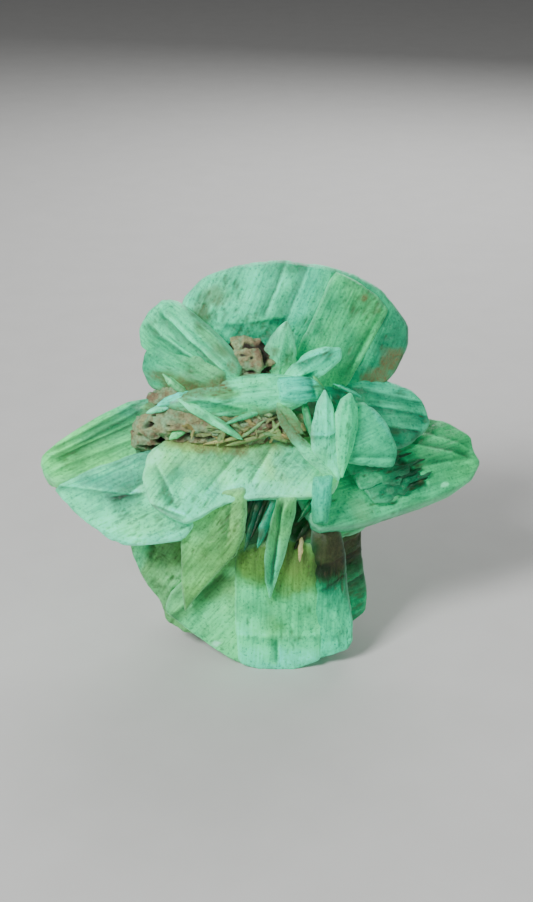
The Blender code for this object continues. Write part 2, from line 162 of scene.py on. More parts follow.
def addPiece(name, points, faces, marks, values):
    # puts whole arrays into a mesh with its attributes, shaded smooth, and says what the piece rides on
    # and hides the CAD nodes it stands for
    mesh = bpy.data.meshes.new(name)
    points = points + originShift
    points[:, 2] = np.maximum(points[:, 2], 0)
    loops = np.concatenate([f.ravel() for f in faces]).astype(np.int32)
    sizes = np.concatenate([np.full(len(f), f.shape[1]) for f in faces]).astype(np.int32)
    mesh.vertices.add(len(points))
    mesh.vertices.foreach_set("co", (points * mm).astype(np.float32).ravel())
    mesh.loops.add(len(loops))
    mesh.loops.foreach_set("vertex_index", loops)
    mesh.polygons.add(len(sizes))
    mesh.polygons.foreach_set("loop_start", np.r_[0, np.cumsum(sizes)[:-1]].astype(np.int32))
    mesh.polygons.foreach_set("loop_total", sizes)
    mesh.update(calc_edges=True)
    mesh.polygons.foreach_set("use_smooth", np.ones(len(sizes), bool))
    for label, level in marks.items():
        if label == "tint":
            layer = mesh.attributes.new(label, "FLOAT_COLOR", "POINT")
            colours = np.c_[np.clip(level, 0, 1), np.ones(len(level))]
            layer.data.foreach_set("color", colours.astype(np.float32).ravel())
        elif label == "grain":
            layer = mesh.attributes.new(label, "FLOAT_VECTOR", "POINT")
            layer.data.foreach_set("vector", level.astype(np.float32).ravel())
        else:
            layer = mesh.attributes.new(label, "FLOAT", "POINT")
            layer.data.foreach_set("value", np.clip(level, 0, 1).astype(np.float32))
    mesh.validate()
    mesh.materials.append(values.get("material", selenite))
    piece = bpy.data.objects.new(name, mesh)
    bpy.context.scene.collection.objects.link(piece)
    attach(piece, "root")
    for node in values.get("nodes", ["crystal_cluster"]):
        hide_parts(node)
    return piece


# Shader maths: a Value wraps a socket, and its operators add Math nodes
class Value:
    def __init__(self, shade, socket):
        self.shade, self.socket = shade, socket

    def math(self, operation, a, b):
        return self.shade.add("ShaderNodeMath", {"operation": operation}, {0: a, 1: b})

    def __add__(self, other):
        return self.math("ADD", self, other)

    def __radd__(self, other):
        return self.math("ADD", other, self)

    def __sub__(self, other):
        return self.math("SUBTRACT", self, other)

    def __rsub__(self, other):
        return self.math("SUBTRACT", other, self)

    def __mul__(self, other):
        return self.math("MULTIPLY", self, other)

    def __rmul__(self, other):
        return self.math("MULTIPLY", other, self)


class Shade:
    def __init__(self, name):
        self.material = bpy.data.materials.new(name)
        self.material.use_nodes = True
        self.tree = self.material.node_tree
        self.tree.nodes.clear()
        self.output = self.tree.nodes.new("ShaderNodeOutputMaterial")

    def add(self, kind, settings, inputs, output=0):
        node = self.tree.nodes.new(kind)
        for key, value in settings.items():
            if key == "stops":
                while len(node.color_ramp.elements) < len(value):
                    node.color_ramp.elements.new(0.5)
                for stop, (place, level) in zip(node.color_ramp.elements, value):
                    stop.position = place
                    stop.color = (level, level, level, 1)
            else:
                setattr(node, key, value)
        for key, value in inputs.items():
            if isinstance(value, Value):
                self.tree.links.new(value.socket, node.inputs[key])
            else:
                node.inputs[key].default_value = value
        return Value(self, node.outputs[output])

    def clamp(self, value):
        return self.add("ShaderNodeClamp", {}, {0: value})

    def mark(self, label, output="Fac"):
        return self.add("ShaderNodeAttribute", {"attribute_name": label}, {}, output)

    def scaled(self, vector, sizes):
        return self.add("ShaderNodeVectorMath", {"operation": "MULTIPLY"}, {0: vector, 1: sizes})

    def noise(self, place, scale, detail=4.0, roughness=0.55):
        inputs = {"Vector": place, "Scale": scale, "Detail": detail, "Roughness": roughness}
        return self.add("ShaderNodeTexNoise", {}, inputs)

    def steps(self, value, stops):
        return self.add("ShaderNodeValToRGB", {"stops": stops}, {0: value})

    def blend(self, factor, first, second, how="MIX"):
        settings = {"data_type": "RGBA", "blend_type": how, "clamp_factor": True}
        return self.add("ShaderNodeMix", settings, {0: factor, 6: first, 7: second}, 2)

    def bump(self, height, strength, distance):
        return self.add("ShaderNodeBump", {}, {"Height": height, "Strength": strength, "Distance": distance})

    def finish(self, shader, volume=None):
        self.tree.links.new(shader.socket, self.output.inputs["Surface"])
        if volume:
            self.tree.links.new(volume.socket, self.output.inputs["Volume"])
        return self.material


seleniteFinish = {
    # colour of the painted highlight along each blade's rim
    "rimHighlightColour": (0.40, 0.92, 0.66, 1),
    "clayColour": (0.13, 0.115, 0.045, 1),
    "coolCast": (0.62, 1.0, 1.12, 1),
    "cloudScale": 150.0,
    "cloudSteps": [(0.32, 0.68), (0.5, 0.98), (0.7, 1.25)],  # place in the noise, brightness
    "grainScale": 0.8,
    "streakSteps": [(0.34, 0.72), (0.5, 1.0), (0.66, 1.16)],
    "crumbSteps": [(0.34, 0.5), (0.44, 0.94), (0.6, 1.08)],
    "coolSteps": [(0.42, 0.0), (0.64, 0.55)],
    "speckSteps": [(0.42, 0.0), (0.6, 1.0)],
    "transmission": 0.2,
    "ior": 1.52,
    "specular": 0.25,
    "scatter": 0.15,
    "scatterReach": (0.0012, 0.003, 0.0022),
    # strength of a painted glow: the crystal gives off its own colour though it is no lamp
    "paintedGlow": 0.2,
    "absorbColour": (0.35, 0.95, 0.68, 1),
    "absorbDensity": 60.0,
    "bump": 0.7,
    "bumpDistance": 0.0005,
}


def seleniteMaterial(values):
    # The tint painted on the mesh, clouded by noise and streaked along the blade's grain, with a painted
    # highlight on the thin rim, browner where clay stains it, and sent out again as a painted glow
    shade = Shade("selenite")
    place = shade.add("ShaderNodeTexCoord", {}, {}, "Object")
    grain = shade.mark("grain", "Vector")
    clouds = shade.noise(place, values["cloudScale"])
    cool = shade.noise(place, values["cloudScale"] * 0.45, 2.0)
    streak = shade.noise(shade.scaled(grain, (0.12, 1.6, 1.0)), values["grainScale"], 5.0, 0.6)
    crumb = shade.noise(grain, values["grainScale"] * 1.6, 8.0, 0.65)
    tint = shade.mark("tint", "Color")
    colour = shade.blend(1.0, tint, shade.steps(clouds, values["cloudSteps"]), "MULTIPLY")
    colour = shade.blend(1.0, colour, shade.steps(streak, values["streakSteps"]), "MULTIPLY")
    colour = shade.blend(1.0, colour, shade.steps(crumb, values["crumbSteps"]), "MULTIPLY")
    colour = shade.blend(shade.steps(cool, values["coolSteps"]), colour, values["coolCast"], "MULTIPLY")
    # painted highlight along the rim, clouded by noise
    colour = shade.blend(shade.mark("rim") * (0.25 + 0.6 * clouds), colour, values["rimHighlightColour"])
    dirt = shade.mark("dirt")
    speck = shade.steps(crumb, values["speckSteps"])
    colour = shade.blend(shade.clamp(dirt * (0.6 + 0.5 * speck)), colour, values["clayColour"])
    shader = shade.add("ShaderNodeBsdfPrincipled", {}, {
        "Base Color": colour,
        "Roughness": shade.clamp(0.22 + 0.26 * clouds + 0.35 * dirt),
        "IOR": values["ior"],
        "Specular IOR Level": values["specular"],
        "Transmission Weight": values["transmission"],
        "Subsurface Weight": values["scatter"],
        "Subsurface Radius": values["scatterReach"],
        "Subsurface Scale": 1.0,
        # painted glow: the surface sends out its own colour as light
        "Emission Color": colour,
        "Emission Strength": values["paintedGlow"],
        "Normal": shade.bump(streak * 0.6 + crumb, values["bump"], values["bumpDistance"]),
    })
    absorb = {"Color": values["absorbColour"], "Density": values["absorbDensity"]}
    return shade.finish(shader, shade.add("ShaderNodeVolumeAbsorption", {}, absorb))


selenite = seleniteMaterial(seleniteFinish)

clayFinish = {
    "brown": (0.18, 0.135, 0.075, 1),
    "ochre": (0.31, 0.34, 0.16, 1),
    "greenDust": (0.20, 0.42, 0.22, 1),
    "pocketShadeColour": (0.02, 0.015, 0.008, 1),
    "scale": 220.0,
    "patchSteps": [(0.42, 0.0), (0.6, 1.0)],
    "dustSteps": [(0.44, 0.0), (0.6, 0.8)],
    "crumbSteps": [(0.3, 0.55), (0.5, 1.0), (0.7, 1.35)],
    "bump": 0.9,
    "bumpDistance": 0.0008,
}


def clayMaterial(values):
    # brown and ochre patches under a green dust of crystal, painted near-black shade in the pockets, with a
    # crumbly bump
    shade = Shade("dry_clay")
    place = shade.add("ShaderNodeTexCoord", {}, {}, "Object")
    patches = shade.noise(place, values["scale"] * 0.7)
    dust = shade.noise(place, values["scale"] * 1.3, 5.0, 0.6)
    crumb = shade.noise(place, values["scale"] * 6, 6.0, 0.7)
    colour = shade.blend(shade.steps(patches, values["patchSteps"]), values["brown"], values["ochre"])
    colour = shade.blend(shade.steps(dust, values["dustSteps"]), colour, values["greenDust"])
    colour = shade.blend(1.0, colour, shade.steps(crumb, values["crumbSteps"]), "MULTIPLY")
    # painted shade in the pockets
    colour = shade.blend(shade.mark("pocket"), colour, values["pocketShadeColour"])
    shader = shade.add("ShaderNodeBsdfPrincipled", {}, {
        "Base Color": colour,
        "Roughness": 0.86 + 0.1 * crumb,
        "Normal": shade.bump(crumb + 0.6 * dust, values["bump"], values["bumpDistance"]),
    })
    return shade.finish(shader)


dryClay = clayMaterial(clayFinish)
print("materials ready")

# Where clay stains the crystals round the hollows: (middle, half sizes)
clayStains = [
    ((-12, -7, 67), (20, 8, 6)),
    ((4, -8, 69), (12, 6, 5)),
    ((-23, -2, 73), (8, 8, 6)),
    ((-3, 3, 84), (8, 6, 5)),
    ((-17, -1, 78.5), (13, 7, 3.6)),
]

# What every blade's shape shares
bladeShape = {
    "rimHalf": 0.5,  # half the thickness left at the rim, mm
    "leastFront": 0.65,  # least height of a front face, mm
    "shoulder": 0.72,  # share of the height reached at the end of the bevel
    "crowding": 1.2,  # above 1, the rings stand closer together near the rim
    "bulge": 0.2,  # how far the rim's middle line stands out, mm
    "rimReach": 0.3,  # how far in from the rim the painted highlight line reaches, mm
}

# How far a ledge's line wanders, and its painted shade at the foot and painted highlight at the edge:
# strength, and reach in mm
ledgeLook = {
    "wobble": 0.1, "wobbleSize": 2.5, "foot": 1.5, "paintedShadeReach": 2.2, "edge": 0.8, "paintedHighlightReach": 0.6,
}
pitLook = {"shade": 0.35, "dirt": 0.35}
stainLook = {"strength": 0.8, "ragged": 0.3}

bladeDefaults = {
    "face": 0.5,  # share of the thickness in front of the rim
    "step": 0.64,  # mesh spacing, mm
    "rounds": 1,  # how often the outline's corners are cut
    "cut": 0.13,
    "chips": 0.3,  # how far the rim is broken inwards
    "lip": 0.62,  # share of the bevel's height that stands close behind the rim
    "crest": 0.0,  # 0 a flat face, 1 a roof with a ridge
    # (start, end, rise, shade): left of start to end stands rise higher; shade sets the painted shade at the
    # foot and the painted highlight on the edge
    "ledges": [],
    "streaks": (0.0, 1.4, 0.05),  # direction in degrees, spacing and depth of fine parallel ridges
    "flakes": (7.0, 0.14),  # size and depth of cleavage flakes
    "pits": (16, 0.5, 0.35),  # how many all over, radius and depth
    "rough": [],  # (u, v, radius, how many pits)
    "tint": (0.20, 0.60, 0.42),
    "farTint": (0.16, 0.55, 0.36),
    "tintTurn": 90.0,  # direction from tint to farTint
    # a few patches are painted glints or painted shade; the rest are the crystal's own colour
    "patches": [],  # (u, v, half length, half width, direction, colour, strength)
    "stains": [],  # (u, v, radius, strength)
    # strength of the painted highlight along the rim
    "rimHighlight": 0.45,
    "seed": 1,
}


def bladeFrame(values):
    # right, up and outward directions of a blade from its yaw and tilt
    yaw, tilt = math.radians(values["yaw"]), math.radians(values["tilt"])
    out = np.array([math.sin(yaw) * math.cos(tilt), -math.cos(yaw) * math.cos(tilt), math.sin(tilt)])
    right = np.array([math.cos(yaw), math.sin(yaw), 0])
    return right, np.cross(out, right), out


def onBlade(values, u, v, h):
    # the place of a point u to the right, v up and h out on a blade
    right, up, out = bladeFrame(values)
    return tuple(np.array(values["place"]) + u * right + v * up + h * out)


def ledgeSides(p, ledge, seed):
    # signed distance to a ledge's line, positive on the side that stands higher, and the fading at its ends
    start, end = np.array(ledge[0]), np.array(ledge[1])
    length = np.hypot(*(end - start))
    along = (end - start) / length
    away = p - start
    size = ledgeLook["wobbleSize"]
    wobble = ledgeLook["wobble"] * noiseAt(p[:, 0] / size, p[:, 1] / size, seed)
    left = along[0] * away[:, 1] - along[1] * away[:, 0] + wobble
    reach = away @ along
    return left, ramp(-2.5, 3, reach) * (1 - ramp(length - 1.5, 3, reach))


def pitsOf(p, values, seed):
    # 0 to 1, deepest in the middle of each of many small ovals that lie along the streaks
    along, across = turned(p[:, 0], p[:, 1], values["streaks"][0])
    rng = np.random.default_rng(seed)
    count, radius, _ = values["pits"]
    low, high = p.min(0), p.max(0)
    places = [low + rng.random((count, 2)) * (high - low)]
    for u, v, reach, many in values["rough"]:
        swing, out = rng.random(many) * math.tau, reach * np.sqrt(rng.random(many))
        places.append(np.stack([u + out * np.cos(swing), v + out * np.sin(swing)], 1))
    hollow = np.zeros(len(p))
    for u, v in np.concatenate(places):
        wide = radius * (0.5 + rng.random())
        a, b = turned(u, v, values["streaks"][0])
        away = np.hypot((along - a) / (wide * (1.5 + 2.6 * rng.random())), (across - b) / wide)
        hollow = np.maximum(hollow, (0.5 + 0.5 * rng.random()) * (1 - ramp(0.1, 0.9, away)))
    return hollow


def reliefOf(p, inside, values, seed, front):
    # ledges, streaks and flakes added up, less the pits, all in mm and faded out at the rim
    relief = np.zeros(len(p))
    if front:
        for number, ledge in enumerate(values["ledges"]):
            left, fade = ledgeSides(p, ledge, seed + number)
            relief += ledge[2] * ramp(-values["step"], 2 * values["step"], left) * fade
    turn, spacing, depth = values["streaks"]
    along, across = turned(p[:, 0], p[:, 1], turn)
    relief += depth * noiseAt(across / spacing, along / (spacing * 18), seed + 11)
    size, deep = values["flakes"]
    tall = 3 * noiseAt(along / size, across / (size * 0.6), seed + 13)
    relief += deep * (np.floor(tall) + ramp(0.8, 0.2, tall - np.floor(tall)))
    hollow = pitsOf(p, values, seed + 17)
    return relief * ramp(0, 1.4, inside) - values["pits"][2] * hollow * ramp(0, 0.5, inside), hollow


# The tables hold the tints as the eye sees them, and the render's view pales them
toneValues = {"gain": (1.5, 1.5, 1.3), "power": (2.2, 1.75, 1.85)}


def deepened(tint):
    return np.array(toneValues["gain"]) * np.clip(tint, 0, 1) ** toneValues["power"]


def tintOf(flat, values, hollow, front):
    # a blend of two tints along one direction, then oval patches, then each ledge's painted shade at its foot
    # and painted highlight on its edge, then painted shade in the pits
    u, v, seed = flat[:, 0], flat[:, 1], values["seed"]
    climb = turned(u, v, values["tintTurn"])[0]
    share = ramp(0, 1, (climb - climb.min()) / np.ptp(climb) + 0.2 * noiseAt(u / 9, v / 9, seed + 23))
    tint = np.array(values["tint"]) * (1 - share[:, None]) + np.array(values["farTint"]) * share[:, None]
    ragged = noiseAt(u / 2.2, v / 2.2, seed + 29)
    for pu, pv, length, width, slope, colour, strength in values["patches"]:
        along, across = turned(u - pu, v - pv, slope)
        away = np.hypot(along / length, across / width)
        weight = (strength * (1 - ramp(0.55, 0.75, away + 0.22 * ragged)))[:, None]
        tint = tint * (1 - weight) + np.array(colour) * weight
    for number, ledge in enumerate(values["ledges"]):
        left, fade = ledgeSides(flat, ledge, seed + number)
        above = ramp(-0.8 * values["step"], 1.6 * values["step"], left)
        # painted shade below the ledge's line and painted highlight along its upper edge
        foot = ledgeLook["foot"] * np.exp(np.minimum(left, 0) / ledgeLook["paintedShadeReach"]) * (1 - above)
        edge = ledgeLook["edge"] * np.exp(-np.maximum(left, 0) / ledgeLook["paintedHighlightReach"]) * above
        tint = tint * (1 + ledge[3] * (edge - foot) * fade * front)[:, None]
    return deepened(tint * (1 - pitLook["shade"] * hollow)[:, None])


def stainOf(points, flat, values):
    # the most of every stain that reaches a point, each ragged at its edge
    ragged = stainLook["ragged"] * noiseAt(points[:, 0] / 3 + points[:, 1] / 5, points[:, 2] / 3, 91)
    dirt = np.zeros(len(points))
    for middle, half in clayStains:
        away = np.linalg.norm((points - middle) / half, axis=1)
        dirt = np.maximum(dirt, stainLook["strength"] * (1 - ramp(0.75, 0.5, away + ragged)))
    for u, v, radius, strength in values["stains"]:
        away = np.hypot(flat[:, 0] - u, flat[:, 1] - v) / radius
        dirt = np.maximum(dirt, strength * (1 - ramp(0.5, 0.7, away + ragged)))
    return dirt


def addBlade(name, own):
    # A closed tablet of two parameters: one runs round the outline, the other from the middle of the back
    # face over the rim to the middle of the front face. A point's height is the blade's profile at its
    # distance from the rim, plus the relief of that face.
    values = {**bladeDefaults, **own}
    outline = np.array(values["outline"], float)
    x2, y2 = np.roll(outline, -1, 0).T
    if (outline[:, 0] * y2 - x2 * outline[:, 1]).sum() < 0:
        outline = outline[::-1]
    outline = softened(outline, values["rounds"], values["cut"])
    rim, arc = evenly(outline, values["step"])
    middle = middleOf(outline)
    arms = rim - middle
    length = np.linalg.norm(arms, axis=1)
    broken = np.clip(noiseAt(arc / 2.6, arc * 0, values["seed"] + 3, 4), -0.2, 1.2)
    arms = arms * (1 - values["chips"] * broken / length)[:, None]
    count = max(int(length.mean() / values["step"]), 5)
    reach = 1 - np.linspace(1, 0, count + 1)[1:] ** bladeShape["crowding"]
    shortSide = (outline.max(0) - outline.min(0)).min()
    bevel = values["bevel"]
    crown = bevel + 0.5 * max(shortSide / 2 - bevel, 0.4)
    p = np.vstack([middle[None], (middle + arms[None] * reach[:, None, None]).reshape(-1, 2)])
    inside = toOutline(p, outline)
    shoulder, rimHalf = bladeShape["shoulder"], bladeShape["rimHalf"]
    places = [0, min(rimHalf, bevel / 2), bevel, crown]
    slope = np.interp(inside, places, [0, shoulder * values["lip"], shoulder, 1])
    profile = slope * (1 - values["crest"]) + inside / max(inside.max(), 0.1) * values["crest"]
    around = len(rim)
    sides = []
    tallFront = max(values["thick"] * values["face"], bladeShape["leastFront"])
    for front, tall in ((0, values["thick"] * (1 - values["face"])), (1, tallFront)):
        relief, hollow = reliefOf(p, inside, values, values["seed"] + 50 * (1 - front), front)
        sides.append(np.c_[p, rimHalf + (tall - rimHalf) * profile + relief, inside, hollow])
    back, front = sides
    back[:, 2] *= -1
    inward = front[1:].reshape(count, around, 5)[::-1].reshape(-1, 5)
    bulge = np.c_[middle + arms * (1 + bladeShape["bulge"] / length)[:, None], np.zeros((around, 3))]
    rows = np.vstack([back, bulge, inward, front[:1]])
    isFront = np.arange(len(rows)) >= len(back)
    flat, height, inside, hollow = rows[:, :2], rows[:, 2], rows[:, 3], rows[:, 4]
    right, up, out = bladeFrame(values)
    points = np.array(values["place"]) + flat[:, :1] * right + flat[:, 1:] * up + height[:, None] * out
    along, across = turned(flat[:, 0], flat[:, 1], values["streaks"][0])
    marks = {
        "tint": tintOf(flat, values, hollow, isFront),
        # the mask of the painted highlight along the rim, fading inwards
        "rim": values["rimHighlight"] * np.exp(-inside / bladeShape["rimReach"]),
        "dirt": stainOf(points, flat, values) + pitLook["dirt"] * hollow,
        "grain": np.stack([along, across, height + values["seed"]], 1),
    }
    return addPiece(name, points, stacked(2 * count + 1, around), marks, values)


# The upright fan at the back
backFan = {
    "place": (10.5, 13.5, 83.5), "yaw": 6, "tilt": 10, "thick": 10, "face": 0.3, "bevel": 3.5, "rounds": 2,
    "step": 0.54,
    "outline": [(-31, 14), (-25, 20), (-16, 23), (-4, 24), (8, 22), (17, 19), (24, 14.5), (31, 5), (31, -1),
                (27, -9), (15, -20), (0, -26), (-18, -22), (-27, -8), (-31, 5)],
    "ledges": [((-2.5, 24), (-9, 9), 0.45, 0.35), ((3.2, 22), (-4, 6), 0.3, 0.3),
               ((11, 22), (1, 2), -0.5, 0.0), ((-18.5, 7.5), (-3, 9), 0.35, 0.3)],
    "streaks": (64, 1.6, 0.06), "flakes": (8, 0.14), "pits": (22, 0.5, 0.4),
    "rough": [(-24, 11, 5, 26), (-13, 5, 5, 22), (-20, 15, 5, 14), (-8, 2, 4, 14)],
    "tint": (0.20, 0.70, 0.54), "farTint": (0.09, 0.48, 0.34), "tintTurn": 0,
    "patches": [(-9, 16, 10, 6, 60, (0.22, 0.84, 0.66), 0.6), (1, 14, 12, 3.2, 64, (0.10, 0.66, 0.54), 0.6),
                (-23, 15, 5, 3, 20, (0.40, 0.50, 0.36), 0.5), (-10, 1, 9, 5, -10, (0.07, 0.42, 0.32), 0.7),
                (-27, 9, 5, 4, 60, (0.26, 0.40, 0.28), 0.6), (28, 2, 12, 5, 60, (0.08, 0.34, 0.26), 0.8)],
    "stains": [(-22, 15, 2.5, 0.3), (-26.5, 11, 2.5, 0.4), (26, -5, 4.5, 0.9), (22, -10, 5, 0.9),
               (-11, -2, 3, 0.4)],
    "seed": 101,
}
addBlade("back_fan", backFan)

fanTerrace = {
    "place": (15.9, 11.9, 84.8), "yaw": 6, "tilt": 10, "thick": 5, "face": 0.3, "bevel": 0.8, "cut": 0.08,
    "outline": [(5, 20), (12, 16.5), (17, 12.5), (20, 8.5), (9.4, -10.3), (3, -21), (-9, -20), (-12, -14)],
    "ledges": [((19, 11), (8, -9), -0.25, 0.25), ((15, 2), (10, -6), 0.2, 0.2)],
    "streaks": (64, 1.8, 0.05), "flakes": (9, 0.1), "pits": (10, 0.5, 0.4), "chips": 0.15,
    "rough": [(13, 11, 4, 24), (8, 8, 4, 8)],
    "tint": (0.16, 0.60, 0.42), "farTint": (0.18, 0.58, 0.34), "tintTurn": 0,
    "patches": [(-3, 2, 18, 4, 64, (0.09, 0.52, 0.36), 0.5), (13, 12, 6, 4, -40, (0.24, 0.58, 0.34), 0.6)],
    "stains": [(13.2, 12.6, 1.3, 0.95), (17, 9, 1, 0.5)], "rimHighlight": 0.35, "seed": 111,
}
addBlade("fan_terrace", fanTerrace)

upperLeftRidge = {
    "place": (-18, 5, 89), "yaw": -18, "tilt": 14, "thick": 11, "bevel": 4.5, "crest": 0.35, "rounds": 2,
    "step": 0.51,
    "outline": [(15, -5), (9, 1), (1, 6.5), (-5, 10), (-9, 9.5), (-13, 5.5), (-15, 1), (-14, -4), (-6, -7),
                (4, -10), (14, -13)],
    "ledges": [((-6, 7.5), (12, -6), -0.8, 0.0), ((-7.5, 6.2), (11, -7), 0.9, 0.4),
               ((-1, 9.5), (16, -2.5), -0.4, 0.3), ((-11, 3), (4.6, -6), -0.6, 0.35)],
    "streaks": (-36, 1.2, 0.12), "flakes": (5, 0.12), "pits": (8, 0.5, 0.35),
    "rough": [(-9, 2, 2, 5), (1, 5, 3, 6)],
    "tint": (0.20, 0.68, 0.48), "farTint": (0.24, 0.72, 0.52),
    "patches": [(6, 1, 7, 1.5, -38, (0.26, 0.44, 0.26), 0.6), (-9, 6, 5, 3, 40, (0.20, 0.66, 0.48), 0.5)],
    "stains": [(9, -3, 3, 0.35)], "seed": 121,
}
addBlade("upper_left_ridge", upperLeftRidge)

upperLeftLobe = {
    "place": (-20, 2, 82), "yaw": -20, "tilt": 20, "thick": 11, "bevel": 4, "crest": 0.4, "rounds": 2,
    "step": 0.51,
    "outline": [(-11.5, 3), (-8.5, 5.5), (-3, 6), (5, 4.5), (13, 1), (12, -7), (3, -9), (-4, -8),
                (-9, -6.5), (-12, -2)],
    "streaks": (-20, 1.2, 0.08), "flakes": (5, 0.12), "pits": (8, 0.5, 0.3),
    "tint": (0.14, 0.56, 0.40), "farTint": (0.28, 0.50, 0.32), "tintTurn": -20,
    "patches": [(1, -4, 6, 2.5, -15, (0.30, 0.42, 0.24), 0.6)],
    "stains": [(4, -5, 4, 0.4)], "seed": 131,
}
addBlade("upper_left_lobe", upperLeftLobe)

leafUp = {
    "place": (5.5, 4, 85.5), "yaw": 10, "tilt": 5, "thick": 5, "bevel": 2, "crest": 0.7, "step": 0.42,
    "outline": [(2.5, 9), (4.2, 4), (4.8, -1), (5, -10), (-1, -12), (-6.5, -9), (-5, -1), (-2, 5)],
    "streaks": (75, 0.9, 0.05), "pits": (6, 0.4, 0.25), "rough": [(2, -1, 2, 6)],
    "tint": (0.22, 0.62, 0.42), "farTint": (0.22, 0.68, 0.50), "tintTurn": 110,
    "patches": [(2.5, -1.5, 3, 1.5, 80, (0.30, 0.50, 0.34), 0.6)],
    "seed": 141,
}
addBlade("leaf_up", leafUp)

leafRight = {
    "place": (14.5, 1, 83), "yaw": 10, "tilt": 25, "thick": 5, "bevel": 2, "crest": 0.55, "step": 0.42,
    "outline": [(-11, -6), (-6, 0), (-1, 3.5), (4, 4.8), (8, 4.2), (8, 1), (4, -2), (-3, -6), (-8, -8)],
    "ledges": [((-4, 1), (5, 3.6), 0.3, 0.4), ((-6, -3.5), (0, -1.6), 0.3, 0.5)],
    "streaks": (35, 0.9, 0.05), "pits": (5, 0.4, 0.25), "rough": [(3, 3.2, 2.5, 10)],
    "tint": (0.16, 0.72, 0.50), "farTint": (0.12, 0.76, 0.60), "tintTurn": 30, "seed": 151,
}
addBlade("leaf_right", leafRight)
print("fan and upper leaves done")

# The left wing
leftWingTop = {
    "place": (-40, 10.5, 56), "yaw": -12, "tilt": 66, "thick": 10, "face": 0.2, "bevel": 4, "rounds": 2,
    "step": 0.51,
    "outline": [(-19, -11), (-19.5, -8), (-17, -3.5), (-13, 2), (-7, 9), (0, 15), (8, 18), (22, 17),
                (30, 6), (24, -6), (8, -9), (-4, -13), (-13, -17), (-17, -15)],
    "ledges": [((-14, -8.4), (4.8, 7.1), -0.45, 0.45), ((-16.5, -9), (4, 11), 0.4, 0.4),
               ((-13.5, -13), (8, 2), 0.3, 0.25), ((-16, -5), (3, 14), 0.35, 0.35)],
    "streaks": (39, 1.3, 0.14), "flakes": (9, 0.1), "pits": (8, 0.5, 0.3), "rough": [(-11, -10, 3, 5)],
    "tint": (0.32, 0.74, 0.40), "farTint": (0.24, 0.62, 0.42), "tintTurn": 60,
    "patches": [(-15, -9, 4, 6, 40, (0.36, 0.78, 0.40), 0.6), (-2, 5, 12, 2.5, 39, (0.18, 0.50, 0.34), 0.6),
                (-1, 0, 13, 2, 37, (0.32, 0.72, 0.46), 0.6), (4, 13, 8, 3, 30, (0.16, 0.42, 0.36), 0.6)],
    "stains": [(9, 10, 5, 0.5)], "seed": 201,
}
addBlade("left_wing_top", leftWingTop)

leftWingFront = {
    "place": (-35, -10, 48), "yaw": -14, "tilt": 38, "thick": 10, "face": 0.2, "bevel": 3, "step": 0.45,
    "outline": [(-22, 1), (-17, -3.5), (-10, -8), (-4, -11), (1, -12.5), (9, -11), (16.5, -9), (20, -3),
                (22, 10), (12, 16), (2, 14), (-11, 8)],
    "ledges": [((-20.7, 1.6), (1, 1.2), -0.35, 0.3), ((5.4, 5.8), (-2, -0.6), 0.3, 0.35),
               ((-4, 0.2), (4, 2.2), 0.3, 0.5)],
    "streaks": (30, 1.5, 0.08), "flakes": (6, 0.15), "pits": (24, 0.4, 0.4),
    "rough": [(6, -7, 5, 26), (1, -4, 4, 12), (-3, -9, 4, 8), (13, -5, 4, 10)],
    "tint": (0.26, 0.92, 0.66), "farTint": (0.20, 0.50, 0.42),
    "patches": [(-7, 4.2, 11, 2.6, 12, (0.16, 0.50, 0.42), 0.85),
                (-12, -1, 7, 2.2, -35, (0.24, 0.94, 0.70), 0.5),
                (6, -5.5, 8, 4, 10, (0.28, 0.70, 0.46), 0.55), (4, 3, 3, 2, 60, (0.40, 0.80, 0.60), 0.6)],
    "seed": 211,
}
addBlade("left_wing_front", leftWingFront)

frontApron = {
    "place": (-4, -12, 57), "yaw": 4, "tilt": 48, "thick": 8, "face": 0.15, "bevel": 2, "rounds": 2,
    "step": 0.42,
    "outline": [(-25, -8), (-21, -11), (-16, -13.5), (-12, -12), (-8, -9.5), (-2, -7.5), (5, -7),
                (14, -7.5), (23.5, -7), (26, -2), (23, 4), (18, 11), (8, 14), (-6, 14), (-18, 12), (-25, 7),
                (-27, 0)],
    "ledges": [((-22.8, 2), (-18.5, -8), 0.4, 0.3), ((7.9, 6.5), (2, -3), 0.3, 0.35),
               ((-0.7, 5.8), (-10.5, -5.5), -0.25, 0.3), ((-27, -7), (-16, -12.2), 0.35, 0.4),
               ((15.5, 5.8), (22.5, -3.1), 0.3, 0.2)],
    "streaks": (50, 1.5, 0.07), "flakes": (8, 0.12), "pits": (18, 0.4, 0.35),
    "rough": [(-21, -9, 5, 26), (13, 3, 5, 18), (2, 0, 5, 8), (-14, -8, 4, 10)],
    "tint": (0.27, 0.84, 0.62), "farTint": (0.42, 0.60, 0.33),
    "patches": [(-12, 3, 9, 2.5, 40, (0.24, 0.58, 0.42), 0.5), (8, -5, 16, 2.2, 0, (0.34, 0.92, 0.70), 0.6),
                (-19, -4, 6, 3, 60, (0.18, 0.58, 0.42), 0.6), (-7, 9, 13, 3.4, 0, (0.50, 0.57, 0.27), 0.7),
                (13, 2, 5, 6, 0, (0.22, 0.68, 0.56), 0.6), (-24, 6, 3, 3, 0, (0.46, 0.86, 0.68), 0.6)],
    "stains": [(-8, 10.5, 6, 0.35), (4, 9, 4, 0.3)], "seed": 221,
}
addBlade("front_apron", frontApron)
print("left wing and apron done")

